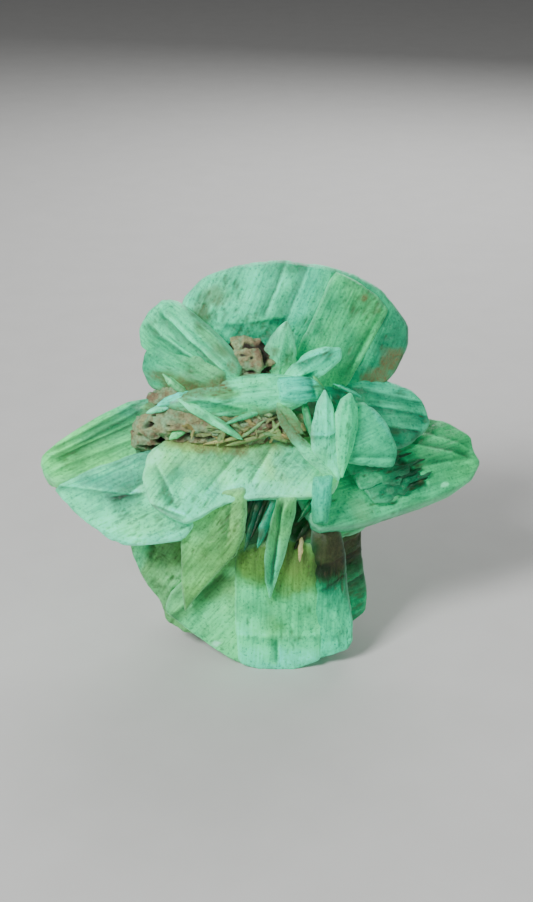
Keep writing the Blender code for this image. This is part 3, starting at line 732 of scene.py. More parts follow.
# The right wing, and thin torn layers lying on it
rightWing = {
    "place": (37.5, 1, 51), "yaw": 16, "tilt": 50, "thick": 12, "face": 0.25, "bevel": 5, "step": 0.54,
    "outline": [(12, 15.5), (19, 13), (25, 7.5), (24.5, 3), (25.5, -0.5), (22, -5), (15, -8.5), (7, -10.5),
                (-3, -12.5), (-14, -14.5), (-26, -14), (-30, 0), (-22, 12), (-8, 17), (4, 18)],
    "ledges": [((21, 0.9), (4.2, 7), 0.3, 0.35), ((21, 0.3), (3.7, -1.1), -0.3, 0.3),
               ((2, 2), (7.5, -6), 0.6, 0.5), ((22, 4), (6, 12), 0.25, 0.25)],
    "streaks": (10, 1.3, 0.1), "flakes": (6, 0.07), "pits": (16, 0.5, 0.4),
    "rough": [(2, -3, 5, 30), (-6, -9, 5, 12), (0, 6, 5, 10)],
    "tint": (0.16, 0.52, 0.36), "farTint": (0.18, 0.54, 0.32), "tintTurn": 0,
    # the near-black patch at (1, -3) is painted shade under the torn layers
    "patches": [(12, 0, 8, 4, 0, (0.16, 0.52, 0.32), 0.6), (1, -3, 5, 3, -30, (0.03, 0.20, 0.13), 0.8),
                (4, -8.5, 10, 1.8, 10, (0.14, 0.52, 0.34), 0.6), (20, -1, 4, 5, 0, (0.22, 0.60, 0.34), 0.6),
                (0, 8, 7, 3, 10, (0.10, 0.40, 0.30), 0.6),
                # these two small pale patches are painted glints
                (12.6, -6.5, 1.3, 0.6, 20, (0.50, 0.94, 0.66), 0.7),
                (-2.8, -8.6, 1.6, 0.5, 10, (0.50, 0.94, 0.66), 0.7)],
    "stains": [(-12, -11, 4, 0.3)], "seed": 301,
}
addBlade("right_wing", rightWing)

tornLayers = {
    "torn_layer_low": {
        "place": onBlade(rightWing, -2.5, -6, 3.8), "yaw": 22, "tilt": 44, "thick": 1.6, "bevel": 0.4,
        "cut": 0.05,
        "outline": [(-8, -3), (-3, -3.6), (1, -2.2), (2.4, -3.0), (4.6, -0.8), (7.6, 1.2), (8.4, 2.8),
                    (3, 3.6), (-4, 4), (-9, 2)],
    },
    "torn_layer_middle": {
        "place": onBlade(rightWing, -4.5, -2.6, 5.2), "yaw": 21, "tilt": 42, "thick": 1.4, "bevel": 0.4,
        "cut": 0.05,
        "outline": [(-8, -3), (-1, -2.4), (3, -3.4), (4.2, -1.6), (6.8, -0.6), (7.4, 1.4), (1, 3.2),
                    (-6, 3.6), (-9, 1)],
    },
    "torn_layer_high": {
        "place": onBlade(rightWing, -6.5, 1.2, 6.2), "yaw": 19, "tilt": 44, "thick": 1.4, "bevel": 0.4,
        "cut": 0.05,
        "outline": [(-8, -2.4), (0, -2.8), (4, -1.4), (6.4, -2.0), (7.6, 0.8), (5, 2.6), (-2, 3), (-9, 2)],
    },
}
for number, (name, layer) in enumerate(tornLayers.items()):
    shared = {
        "step": 0.38, "chips": 0.9, "flakes": (3, 0.16), "streaks": (12, 0.8, 0.05), "pits": (5, 0.4, 0.2),
        "tint": (0.14, 0.46, 0.32), "farTint": (0.05, 0.22, 0.15), "tintTurn": 0, "rimHighlight": 0.1,
        "seed": 340 + number,
    }
    addBlade(name, {**shared, **layer})

rightUpper = {
    "place": (31, 8, 66.5), "yaw": 14, "tilt": 40, "thick": 8, "face": 0.3, "bevel": 3, "step": 0.58,
    "outline": [(-18, 11), (-6, 12), (5, 8.5), (12.5, 5), (15.5, 1), (16.5, -6), (9, -11), (-6, -13),
                (-18, -8)],
    "ledges": [((-4, 6.6), (15, 0.6), 0.35, 0.3), ((-0.5, 1.1), (16, -3.5), -0.25, 0.35),
               ((-4, -4), (13, -7.4), 0.3, 0.4)],
    "streaks": (-12, 1.4, 0.12), "flakes": (6, 0.16), "pits": (12, 0.5, 0.4),
    "rough": [(2, -6, 5, 14), (-6, 5, 4, 12)],
    "tint": (0.12, 0.42, 0.28), "farTint": (0.12, 0.54, 0.42), "tintTurn": 60,
    "patches": [(5, 5, 9, 2, -20, (0.12, 0.56, 0.44), 0.6), (-6, 4, 6, 4, 0, (0.06, 0.28, 0.20), 0.6)],
    "seed": 311,
}
addBlade("right_upper", rightUpper)

rightUnder = {
    "place": (22.5, -6.5, 44), "yaw": 12, "tilt": 30, "thick": 7, "face": 0.3, "bevel": 2, "step": 0.58,
    "outline": [(-14, -9), (-4, -9.2), (5, -7), (9, -4), (14, 0.5), (12, 4.5), (9, 8), (2, 11), (-8, 12),
                (-15, 6), (-17, -4)],
    "ledges": [((14.2, 0.2), (0, -6), 0.5, 0.0), ((12, 2.8), (0, -2), -0.4, 0.3)],
    "streaks": (15, 1.4, 0.08), "flakes": (6, 0.12), "pits": (10, 0.5, 0.35), "rough": [(2, -6, 3, 8)],
    "tint": (0.18, 0.44, 0.22), "farTint": (0.24, 0.70, 0.50), "tintTurn": 70,
    "patches": [(6, 1, 7, 3, 15, (0.26, 0.76, 0.56), 0.7), (-5, -5, 5, 3, 10, (0.09, 0.28, 0.10), 0.7),
                # the near-black patch at its left end is painted shade
                (-12, -2, 5, 10, 0, (0.05, 0.12, 0.06), 0.92)],
    "stains": [(-8, -5, 3, 0.3)], "seed": 321,
}
addBlade("right_under", rightUnder)

discLeaf = {
    "place": (30, -6.5, 65.5), "yaw": 12, "tilt": 15, "thick": 4.5, "bevel": 1.8, "rounds": 2, "step": 0.45,
    "outline": [(-5, 9), (-1, 9.2), (3.5, 5), (6, 0), (7.5, -5), (6.3, -8.8), (2, -8.8), (-5, -7), (-9, -6),
                (-9, 3)],
    "ledges": [((6.5, -6.5), (-6, -5), 0.2, 0.25)],
    "streaks": (20, 1.4, 0.05), "flakes": (6, 0.06), "pits": (4, 0.4, 0.25),
    "tint": (0.06, 0.56, 0.40), "farTint": (0.08, 0.60, 0.43), "tintTurn": 40,
    "patches": [(3.5, 4, 7, 1.4, -55, (0.12, 0.66, 0.54), 0.8),
                (0, -8, 6, 1.2, 0, (0.12, 0.62, 0.46), 0.7)],
    "seed": 331,
}
addBlade("disc_leaf", discLeaf)
print("right wing done")

# The nest of leaves in the middle
longLeaf = {
    "place": (-5, -3.5, 77), "yaw": 0, "tilt": 30, "thick": 10, "bevel": 3, "rounds": 2, "step": 0.45,
    "crest": 0.25,
    "outline": [(-22, -3), (-17, -1), (-9, 2.3), (1, 4.6), (10, 5), (18, 4.2), (22, 0), (14, -5), (3, -7),
                (-9, -7), (-18, -5)],
    "ledges": [((10.5, 5), (11.3, -2), -0.3, 0.0), ((17.5, 3.5), (18.5, -3), 0.35, 0.4),
               ((-13, -2.1), (2, -4.8), 0.25, 0.3)],
    "streaks": (8, 1.1, 0.05), "flakes": (5, 0.1), "pits": (8, 0.4, 0.3),
    "rough": [(-4, -0.6, 3.5, 18), (19, -1, 2.5, 10)],
    "tint": (0.24, 0.76, 0.54), "farTint": (0.18, 0.74, 0.54), "tintTurn": 0,
    "patches": [(14.5, 0.5, 4, 3.6, 0, (0.01, 0.70, 0.61), 0.95),
                (-4, -0.8, 5, 1.6, 5, (0.26, 0.48, 0.26), 0.7),
                (-17.5, -1.5, 2, 2, 0, (0.50, 0.94, 0.84), 0.9), (3, 2, 8, 1.8, 8, (0.26, 0.76, 0.52), 0.6),
                (3, -5, 10, 1.6, 0, (0.18, 0.54, 0.32), 0.6)],
    "stains": [(-4, -0.8, 2.5, 0.3)], "seed": 401,
}
addBlade("long_leaf", longLeaf)

stub = {
    "place": (11.5, -5.8, 79), "yaw": 8, "tilt": 30, "thick": 8, "bevel": 2, "step": 0.42,
    "outline": [(-6.5, 3.3), (-2, 3.6), (3, 2.6), (7, -0.8), (4.5, -3.4), (-1, -4), (-6.5, -3)],
    "ledges": [((2.6, 3), (3.4, -3), 0.25, 0.4)],
    "streaks": (0, 1.1, 0.05), "flakes": (4, 0.1), "pits": (5, 0.4, 0.25), "rough": [(4.6, -0.8, 1.6, 8)],
    "tint": (0.01, 0.72, 0.62), "farTint": (0.03, 0.66, 0.54), "tintTurn": -60,
    "patches": [(5, -1, 2, 2.6, 60, (0.20, 0.50, 0.32), 0.8)],
    "rimHighlight": 0.2, "seed": 411,
}
addBlade("stub", stub)

leftSpike = {
    "place": (-25, -0.5, 73), "yaw": -10, "tilt": 40, "thick": 4, "bevel": 1.5, "step": 0.42, "cut": 0.06,
    "outline": [(-7, -2.3), (-3.5, 0), (2, 1.6), (8, 2.5), (12, 0), (4, -3), (-3, -3.2)],
    "tint": (0.26, 0.62, 0.38), "farTint": (0.34, 0.76, 0.58), "tintTurn": 0, "pits": (3, 0.3, 0.2),
    "seed": 421,
}
addBlade("left_spike", leftSpike)

paleLeaf = {
    "place": (18, -11.5, 67.5), "yaw": 15, "tilt": 8, "thick": 5, "bevel": 1.8, "crest": 0.2, "step": 0.42,
    "cut": 0.07,
    "outline": [(0, 13), (-2.2, 9.5), (-4, 3), (-4, -3), (-1, -8), (3, -13), (4.5, -9), (3.8, -3), (3, 2),
                (2, 9)],
    "ledges": [((-4.3, 1.2), (3.2, 1.0), 0.1, 0.3)],
    "streaks": (85, 0.9, 0.05), "flakes": (4, 0.08), "pits": (6, 0.3, 0.25), "rough": [(1, -3, 2.5, 4)],
    "tint": (0.24, 0.80, 0.62), "farTint": (0.20, 0.76, 0.58),
    "patches": [(-2, -5, 4, 2, 90, (0.26, 0.62, 0.42), 0.5)],
    "seed": 431,
}
addBlade("right_leaf_pale", paleLeaf)

greenLeaf = {
    "place": (23.5, -10, 67.5), "yaw": 30, "tilt": 8, "thick": 5, "bevel": 1.8, "crest": 0.2, "step": 0.42,
    "cut": 0.07,
    "outline": [(2, 11.3), (3.7, 7), (3.4, 1.5), (1.5, -4), (-2.5, -12), (-4, -7), (-3.6, 0), (-3.2, 6),
                (-1, 10)],
    "streaks": (80, 0.9, 0.05), "flakes": (4, 0.08), "pits": (4, 0.3, 0.25), "rough": [(-1.5, 2, 2.5, 6)],
    "tint": (0.12, 0.72, 0.48), "farTint": (0.08, 0.70, 0.48), "seed": 441,
}
addBlade("right_leaf_green", greenLeaf)

rodShort = {
    "place": (8, -8, 72.5), "yaw": 0, "tilt": 25, "thick": 3, "bevel": 1, "step": 0.38, "cut": 0.08,
    "outline": [(-5.5, 6), (-2.5, 4.8), (1, 0.8), (3.4, -2.4), (4, -5), (2.4, -5), (-0.8, -2), (-4, 2.5)],
    "tint": (0.24, 0.56, 0.34), "farTint": (0.28, 0.58, 0.36), "pits": (3, 0.3, 0.2), "seed": 451,
}
addBlade("rod_short", rodShort)

rodLong = {
    "place": (13, -11, 65), "yaw": 5, "tilt": 25, "thick": 3.5, "bevel": 1, "step": 0.38, "cut": 0.08,
    "outline": [(-8.5, 11.5), (-5.5, 8.5), (-2.2, 3), (2, -1.6), (5.5, -6), (7.5, -9.5), (4, -8), (0, -4.4),
                (-4, 0.5), (-7, 5.5)],
    "tint": (0.26, 0.70, 0.52), "farTint": (0.24, 0.58, 0.38), "pits": (3, 0.3, 0.2), "seed": 461,
}
addBlade("rod_long", rodLong)

post = {
    "place": (16.5, -16.5, 51), "yaw": 8, "tilt": 4, "thick": 6, "bevel": 1.2, "step": 0.42, "cut": 0.08,
    "outline": [(-1.8, 7), (3.4, 7), (3, 1.5), (2.2, -6.4), (-1.9, -6.2), (-2.4, 0)],
    "streaks": (88, 0.9, 0.05), "flakes": (4, 0.06), "pits": (3, 0.3, 0.2),
    "tint": (0.12, 0.50, 0.36), "farTint": (0.02, 0.60, 0.50),
    "patches": [(0, 4, 4, 3, 0, (0.01, 0.60, 0.52), 0.8)],
    "rimHighlight": 0.15, "seed": 471,
}
addBlade("post", post)
print("heart leaves done")

# The foot: three upright panes side by side, and what stands beside and before them
footLeft = {
    "place": (-13.5, -13, 14), "yaw": -9, "tilt": 8, "thick": 8, "face": 0.35, "bevel": 2.5, "cut": 0.1,
    "outline": [(-13, 0), (-5.5, -5.5), (1, -10), (6, -12.8), (11, -14.6), (13, 10), (9, 26), (-1, 16),
                (-11, 6)],
    "ledges": [((-11, -1), (4, 14), 0.3, 0.3)],
    "streaks": (50, 1.5, 0.05), "flakes": (7, 0.08), "pits": (10, 0.4, 0.3), "rough": [(3, -9, 3, 10)],
    "tint": (0.28, 0.76, 0.48), "farTint": (0.32, 0.46, 0.26), "tintTurn": 95,
    "patches": [(2, 9, 7, 3, 50, (0.30, 0.42, 0.24), 0.6), (-6, 3, 6, 3, 30, (0.34, 0.54, 0.32), 0.5),
                # this small pale patch is a painted glint
                (2, -8, 1.8, 1.0, 20, (0.56, 0.96, 0.74), 0.75),
                (6, 14, 3, 1.4, 20, (0.40, 0.80, 0.52), 0.7)],
    "seed": 501,
}
addBlade("foot_left_pane", footLeft)

footMiddle = {
    "place": (5.5, -15, 22), "yaw": 0, "tilt": 8, "thick": 8, "face": 0.35, "bevel": 2.5, "cut": 0.1,
    "outline": [(-12, 12), (-12, -10), (-11, -21), (-5, -23), (4, -23.2), (12, -20), (12.5, -5), (12, 13),
                (6, 16), (-4, 15)],
    "ledges": [((-11, -12.1), (12, -12.1), -0.25, 0.2), ((-0.1, -14), (-0.1, -20), 0.25, 0.5),
               ((10.5, 12), (11.5, 0), 0.2, 0.3)],
    "streaks": (88, 1.6, 0.05), "flakes": (8, 0.06), "pits": (10, 0.4, 0.3),
    "rough": [(3, -14, 4, 10), (9, 8, 3, 8)],
    "tint": (0.20, 0.90, 0.62), "farTint": (0.24, 0.33, 0.14),
    "patches": [(-6.5, -2, 5, 5, 0, (0.17, 0.66, 0.42), 0.75), (6, -6, 7, 6, 0, (0.17, 0.68, 0.42), 0.75),
                (-6.5, 9, 5, 6.5, 0, (0.28, 0.36, 0.15), 0.85), (5, 8, 8, 8, 20, (0.32, 0.41, 0.17), 0.85),
                (0, -18.5, 12, 3.5, 0, (0.24, 0.96, 0.68), 0.7)],
    "stains": [(4, 10, 5, 0.25)], "seed": 511,
}
addBlade("foot_middle_pane", footMiddle)

footRight = {
    "place": (20, -14, 22), "yaw": 8, "tilt": 8, "thick": 8, "face": 0.35, "bevel": 2, "cut": 0.1,
    "step": 0.51,
    "outline": [(-6, 18), (-6, -20), (0, -19.2), (4.6, -17.6), (6, -15), (6, -8.5), (4.5, 0), (4, 12),
                (2, 20)],
    "ledges": [((-3, 2), (5, 6), 0.4, 0.4), ((-4, 9), (4, 11), 0.4, 0.4)],
    "streaks": (85, 1.5, 0.08), "flakes": (5, 0.15), "pits": (10, 0.4, 0.4),
    "rough": [(3, -15, 3.5, 26), (1, 4, 4, 12)],
    "tint": (0.05, 0.70, 0.52), "farTint": (0.06, 0.11, 0.035),
    "patches": [(0, -8, 5, 8, 0, (0.05, 0.62, 0.44), 0.7), (0, 11, 6, 7, 0, (0.055, 0.085, 0.03), 0.8),
                (0, -17, 6, 3, 0, (0.05, 0.80, 0.62), 0.7)],
    "stains": [(0, 14, 6, 0.25)], "seed": 521,
}
addBlade("foot_right_pane", footRight)

footSideLeft = {
    "place": (-19, -6, 22.5), "yaw": -15, "tilt": 5, "thick": 9, "bevel": 3, "step": 0.58,
    "outline": [(-18, 15), (-17.5, 6), (-15, 0), (-12, -5), (-8.5, -9), (-7, -15), (0, -18), (10, -16),
                (18, 0), (14, 20), (-4, 24)],
    "ledges": [((-9, 16), (-10, 4), -0.5, 0.4)],
    "streaks": (60, 1.5, 0.1), "flakes": (4, 0.25), "pits": (16, 0.6, 0.45), "rough": [(-5, 9, 6, 30)],
    "tint": (0.32, 0.50, 0.30), "farTint": (0.34, 0.54, 0.34),
    "patches": [(-14, 8, 9, 3, 80, (0.26, 0.66, 0.46), 0.85), (-3, 8, 6, 7, 0, (0.30, 0.42, 0.24), 0.6)],
    "stains": [(-2, 10, 6, 0.25)], "seed": 531,
}
addBlade("foot_side_left", footSideLeft)

footSideRight = {
    "place": (18, -5.5, 22), "yaw": 12, "tilt": 5, "thick": 10, "bevel": 2.5, "step": 0.58,
    "outline": [(-8, 20), (11, 19), (11, 7.5), (11.8, 0), (12.8, -6), (12.3, -12), (8, -15), (-2, -19),
                (-14, -16), (-12, 8)],
    "ledges": [((0, 6), (11, 9), 0.5, 0.4), ((0, -2), (12, 1), 0.4, 0.4), ((2, 12), (11, 13), 0.4, 0.4)],
    "streaks": (15, 1.2, 0.15), "flakes": (5, 0.25), "pits": (14, 0.6, 0.5),
    "rough": [(8, -6, 4, 24), (6, 10, 5, 14)],
    "tint": (0.09, 0.46, 0.30), "farTint": (0.09, 0.13, 0.05),
    "patches": [(8, 9, 5, 7, 0, (0.10, 0.12, 0.05), 0.6), (9, -8, 4, 4, 0, (0.08, 0.56, 0.38), 0.7)],
    "stains": [(7, 14, 7, 0.25)], "seed": 541,
}
addBlade("foot_side_right", footSideRight)

slantingPane = {
    "place": (-10, -17.5, 37), "yaw": -6, "tilt": 6, "thick": 5.5, "face": 0.4, "bevel": 1.2, "cut": 0.08,
    "step": 0.51,
    "outline": [(-10.5, 12), (-2, 17), (6.5, 18), (6.8, 11), (6.2, 5), (4.2, -1), (-2, -8), (-8, -16),
                (-10, -19), (-11, -10), (-11, 0)],
    "ledges": [((3.2, 14), (1.8, 3), 0.3, 0.3)],
    "streaks": (55, 1.4, 0.06), "flakes": (6, 0.1), "pits": (8, 0.4, 0.3),
    "rough": [(2, 8, 3, 14), (-9, 6, 2, 8)],
    "tint": (0.34, 0.52, 0.26), "farTint": (0.36, 0.60, 0.34),
    "patches": [(-6, 8, 6, 4, 60, (0.30, 0.60, 0.36), 0.5), (4, 9, 6, 2, 80, (0.38, 0.50, 0.28), 0.6)],
    "seed": 551,
}
addBlade("slanting_pane", slantingPane)

spear = {
    "place": (5.4, -17.2, 38.5), "yaw": -11, "tilt": 7, "thick": 7, "bevel": 2.5, "crest": 0.7,
    "step": 0.42, "cut": 0.08,
    "outline": [(-0.5, 14), (4.6, 14), (4.4, 9), (3.2, 2.5), (1.5, -4.5), (-1.8, -16.5), (-3.3, -11.5),
                (-3.7, -4.5), (-2.8, 3)],
    "ledges": [((1.6, 12), (-1, -12), 0.25, 0.5)],
    "streaks": (82, 0.9, 0.06), "flakes": (5, 0.08), "pits": (4, 0.3, 0.2),
    "tint": (0.20, 0.68, 0.48), "farTint": (0.28, 0.56, 0.32),
    "patches": [(-0.6, -6, 8, 0.8, 80, (0.16, 0.68, 0.48), 0.7)],
    "seed": 561,
}
addBlade("spear", spear)
print("foot done")

# Behind: the same habit carried round
backBlades = {
    "back_foot": {
        "place": (2, 20, 21), "yaw": 186, "tilt": 12, "thick": 9, "bevel": 3,
        "outline": [(-20, 18), (-23, 6), (-20, -8), (-13, -17.5), (-6, -22), (7, -22), (14, -17), (21, -7),
                    (23, 6), (16, 20), (0, 26)],
        "ledges": [((-6, 20), (-7, -18), 0.5, 0.35), ((9, 18), (8, -14), -0.4, 0.35)],
        "streaks": (88, 1.6, 0.08),
        "tint": (0.20, 0.66, 0.40), "farTint": (0.20, 0.36, 0.16),
    },
    "foot_flank_left": {
        "place": (-14.5, 6, 25), "yaw": -78, "tilt": -12, "thick": 8, "bevel": 3,
        "outline": [(-13, 18), (-14, 4), (-11, -12), (-5, -21), (3, -24), (10, -17), (14, -4), (13, 16)],
        "ledges": [((2, 18), (1, -18), 0.4, 0.35)],
        "streaks": (86, 1.5, 0.08),
        "tint": (0.22, 0.62, 0.36), "farTint": (0.18, 0.34, 0.16),
    },
    "foot_flank_right": {
        "place": (15.5, 7, 25), "yaw": 80, "tilt": -8, "thick": 8, "bevel": 3,
        "outline": [(-14, 17), (-13, 0), (-10, -15), (-2, -23), (6, -21), (12, -12), (14, 3), (12, 18)],
        "ledges": [((-1, 17), (0, -18), -0.4, 0.35)],
        "streaks": (92, 1.5, 0.08),
        "tint": (0.12, 0.56, 0.36), "farTint": (0.10, 0.20, 0.08),
    },
    "back_wing_left": {
        "place": (-15, 32, 52), "yaw": 196, "tilt": 58, "thick": 9, "bevel": 5,
        "outline": [(-16, 10), (-18, -2), (-12, -11), (-2, -15), (9, -13), (17, -6), (19, 4), (14, 12)],
        "ledges": [((-12, 2), (12, -6), 0.5, 0.35), ((-8, 8), (14, 1), -0.4, 0.3)],
        "streaks": (-18, 1.4, 0.1),
        "tint": (0.24, 0.70, 0.46), "farTint": (0.12, 0.46, 0.28),
    },
    "back_wing_right": {
        "place": (20, 30, 46), "yaw": 160, "tilt": 50, "thick": 10, "bevel": 5,
        "outline": [(-19, 8), (-22, -3), (-15, -11), (-4, -15), (8, -13), (16, -5), (16, 8)],
        "ledges": [((-14, -2), (10, -8), 0.5, 0.35), ((-16, 4), (10, 1), 0.4, 0.3)],
        "streaks": (-12, 1.4, 0.1),
        "tint": (0.16, 0.62, 0.40), "farTint": (0.09, 0.42, 0.22),
    },
    "back_fin": {
        "place": (3, 32, 64), "yaw": 98, "tilt": 6, "thick": 7, "bevel": 3,
        "outline": [(-12, -22), (4, -20), (12, -10), (15, 2), (12, 13), (3, 20), (-12, 18)],
        "ledges": [((-8, 15), (9, -12), 0.5, 0.35), ((2, 17), (13, -2), -0.4, 0.3)],
        "streaks": (-58, 1.4, 0.1),
        "tint": (0.12, 0.48, 0.28), "farTint": (0.20, 0.64, 0.46), "tintTurn": 60,
    },
    "back_spire": {
        "place": (8, 23, 80), "yaw": 192, "tilt": 16, "thick": 7, "bevel": 3,
        "outline": [(-14, -14), (-16, 0), (-9, 12), (1, 18), (10, 12), (15, 0), (12, -14), (0, -18)],
        "ledges": [((-3, 14), (-11, -6), 0.5, 0.35), ((7, 12), (-1, -10), 0.4, 0.35)],
        "streaks": (66, 1.5, 0.1),
        "tint": (0.12, 0.46, 0.28), "farTint": (0.22, 0.64, 0.48),
    },
    "back_leaf_low": {
        "place": (-13, 21.5, 35), "yaw": 214, "tilt": 8, "thick": 6, "bevel": 2, "crest": 0.5,
        "outline": [(-5, 12), (-7, 2), (-4, -9), (0, -15), (4, -8), (6, 3), (4, 12)],
        "streaks": (88, 1.1, 0.08),
        "tint": (0.22, 0.60, 0.36), "farTint": (0.26, 0.50, 0.28),
    },
    "back_leaf_high": {
        "place": (-14, 19, 76), "yaw": 205, "tilt": 26, "thick": 5, "bevel": 2, "crest": 0.5,
        "outline": [(-6, -10), (-8, 0), (-4, 9), (1, 14), (5, 8), (8, -2), (6, -10)],
        "streaks": (86, 1.1, 0.08),
        "tint": (0.16, 0.54, 0.34), "farTint": (0.20, 0.66, 0.50),
    },
}
for number, (name, blade) in enumerate(backBlades.items()):
    shared = {"step": 0.77, "flakes": (6, 0.18), "pits": (30, 0.6, 0.4), "rough": [(3, 2, 6, 24)]}
    addBlade(name, {**shared, "seed": 600 + 10 * number, **blade})
print("back blades done")

# Thin splinters: (start, end, width, thickness, turn about their own length, tint)
hollowSplinters = [
    ((-21.5, -7, 77), (-4, -11.5, 66.6), 3.2, 2.2, 20, (0.28, 0.72, 0.50)),
    ((-9, -10, 70.5), (8, -5, 75.5), 2.0, 1.6, -20, (0.20, 0.66, 0.46)),
    ((12, -4, 76), (14.4, -9.8, 66), 2.8, 1.8, 80, (0.20, 0.48, 0.32)),
    ((-27, -7.2, 74.6), (-18, -4.6, 77.6), 2.8, 1.8, 15, (0.24, 0.84, 0.72)),
    ((-30, -7, 72.4), (-19, -4.4, 75.6), 2.4, 1.8, 20, (0.36, 0.86, 0.66)),
    ((-25.6, -2.2, 82), (-18, -4.5, 76), 2.6, 1.8, 20, (0.34, 0.62, 0.40)),
    ((11.6, -13.5, 40), (11.2, -17.8, 33), 1.4, 1.2, 0, (0.60, 0.50, 0.36)),
    ((-24, -8.6, 65.5), (-18, -6, 69), 2.4, 1.6, 30, (0.30, 0.66, 0.40)),
    ((-9, -8.6, 63.6), (2.8, -9.2, 67), 1.5, 1.2, 0, (0.42, 0.47, 0.28)),
    ((2.4, -9.2, 67), (9.5, -8.6, 64.6), 1.5, 1.2, 0, (0.41, 0.45, 0.27)),
    ((-11, -9, 63.4), (-9, -9, 70), 1.6, 1.2, 70, (0.43, 0.46, 0.30)),
    ((-6, -9.8, 65), (6, -9, 68.6), 1.3, 1.0, 30, (0.43, 0.41, 0.26)),
    ((2, -9, 71.4), (-5, -9.8, 66), 1.3, 1.0, 10, (0.37, 0.47, 0.31)),
    ((4, -8.8, 71.4), (6.5, -9, 64.8), 1.4, 1.0, 80, (0.40, 0.43, 0.26)),
    ((7, -8.4, 71.8), (2, -9.6, 66.4), 1.2, 0.9, 10, (0.39, 0.41, 0.26)),
    ((-15, -8.8, 64), (-3, -9.6, 67), 1.2, 1.0, 0, (0.46, 0.41, 0.26)),
    ((15.5, -4, 78), (17.5, -10, 71), 1.6, 1.0, 60, (0.16, 0.56, 0.42)),
    ((19, -5, 77), (22, -9.5, 72), 1.2, 0.9, 60, (0.14, 0.52, 0.38)),
    ((20, -1, 78.5), (28, -3, 75.5), 1.4, 1.0, 0, (0.10, 0.56, 0.44)),
    ((14.5, -1, 81), (18, -2.6, 76), 1.5, 1.0, 40, (0.24, 0.62, 0.38)),
]
# splinters in the crevice under the apron; their near-black tints are painted shade
creviceSplinters = [
    ((0, -11, 56), (-6.8, -18.8, 35), 3.2, 1.8, 60, (0.04, 0.14, 0.10)),
    ((2, -11, 54), (-3.9, -18.5, 36.5), 3.0, 1.6, 80, (0.05, 0.22, 0.17)),
    ((6, -12, 54), (-0.4, -19.2, 38), 3.2, 1.8, 100, (0.08, 0.42, 0.34)),
    ((4, -9, 54), (-2.3, -17.4, 39.5), 2.8, 1.6, 50, (0.03, 0.12, 0.08)),
    ((18, -8, 52), (10.4, -16.8, 44.5), 2.8, 1.8, 60, (0.05, 0.22, 0.14)),
    ((19, -7, 48), (10, -15.6, 38), 3.0, 1.8, 80, (0.06, 0.12, 0.06)),
    ((17, -8, 45), (9.7, -15.6, 35.4), 2.6, 1.6, 100, (0.05, 0.09, 0.04)),
]


splinterShape = {
    "around": 16,
    "rings": 30,
    "places": [0, 0.05, 0.28, 0.7, 0.93, 1],  # shares of the length
    "swell": [0, 0.34, 1, 0.96, 0.4, 0],  # share of the full section there
    "waves": 0.12,
    "bend": 0.25,  # mm
    "relief": 0.08,  # mm
}


def addSplinters(name, rows, seed):
    # Each is a grid of share along its length by turn about it: a hexagonal section with two sharp sides,
    # swelling from a point to its shoulders and back to a point, and bent a little by noise
    points, faces, tints, grains, dirt = [], [], [], [], []
    around, rings = splinterShape["around"], splinterShape["rings"]
    first = 0
    for number, (start, end, width, thick, turn, tint) in enumerate(rows):
        start, end = np.array(start, float), np.array(end, float)
        axis = (end - start) / np.linalg.norm(end - start)
        side = np.cross((0, 0, 1), axis)
        side /= np.linalg.norm(side)
        rise = np.cross(axis, side)
        side, rise = turned(side, rise, turn)
        t = np.linspace(0, 1, rings + 2)
        swell = np.interp(t, splinterShape["places"], splinterShape["swell"])
        swell = swell * (1 + splinterShape["waves"] * noiseAt(t * 9, t * 0 + number, seed))
        a = np.arange(around) / around * math.tau
        sharp = np.abs(np.cos(a)) ** 1.6 * np.sign(np.cos(a))
        flat = np.clip(1.25 * np.sin(a), -1, 1)
        section = width / 2 * sharp[None, :, None] * side + thick / 2 * flat[None, :, None] * rise
        grid = swell[:, None, None] * section
        bend = splinterShape["bend"] * noiseAt(t * 3, t * 0 + number + 7, seed)[:, None] * side
        line = start + t[:, None] * (end - start) + bend
        grid = grid + line[:, None, :]
        body = np.vstack([grid[:1, 0], grid[1:-1].reshape(-1, 3), grid[-1:, 0]])
        body = body + splinterShape["relief"] * noiseIn(body / 0.9, seed + number, 2)[:, None] * rise
        along = np.r_[0, np.repeat(t[1:-1], around), 1] * np.linalg.norm(end - start)
        across = np.r_[0, np.tile(sharp * width / 2, rings), 0]
        points.append(body)
        faces.append(stacked(rings, around, first))
        shade = 1 + 0.22 * noiseAt(along / 3, across, seed + number)
        tints.append(deepened(np.array(tint) * shade[:, None]))
        grains.append(np.stack([along, across, along * 0 + number * 3.7], 1))
        dirt.append(0.35 * ramp(0.1, 0.8, noiseAt(along / 2.5, across / 2, seed + 70 + number)))
        first += len(body)
    tints = np.vstack(tints)
    marks = {
        "tint": tints,
        "rim": np.zeros(len(tints)),
        "dirt": np.concatenate(dirt),
        "grain": np.vstack(grains),
    }
    return addPiece(name, np.vstack(points), joined(faces), marks, {})


addSplinters("hollow_splinters", hollowSplinters, 701)
addSplinters("crevice_splinters", creviceSplinters, 731)
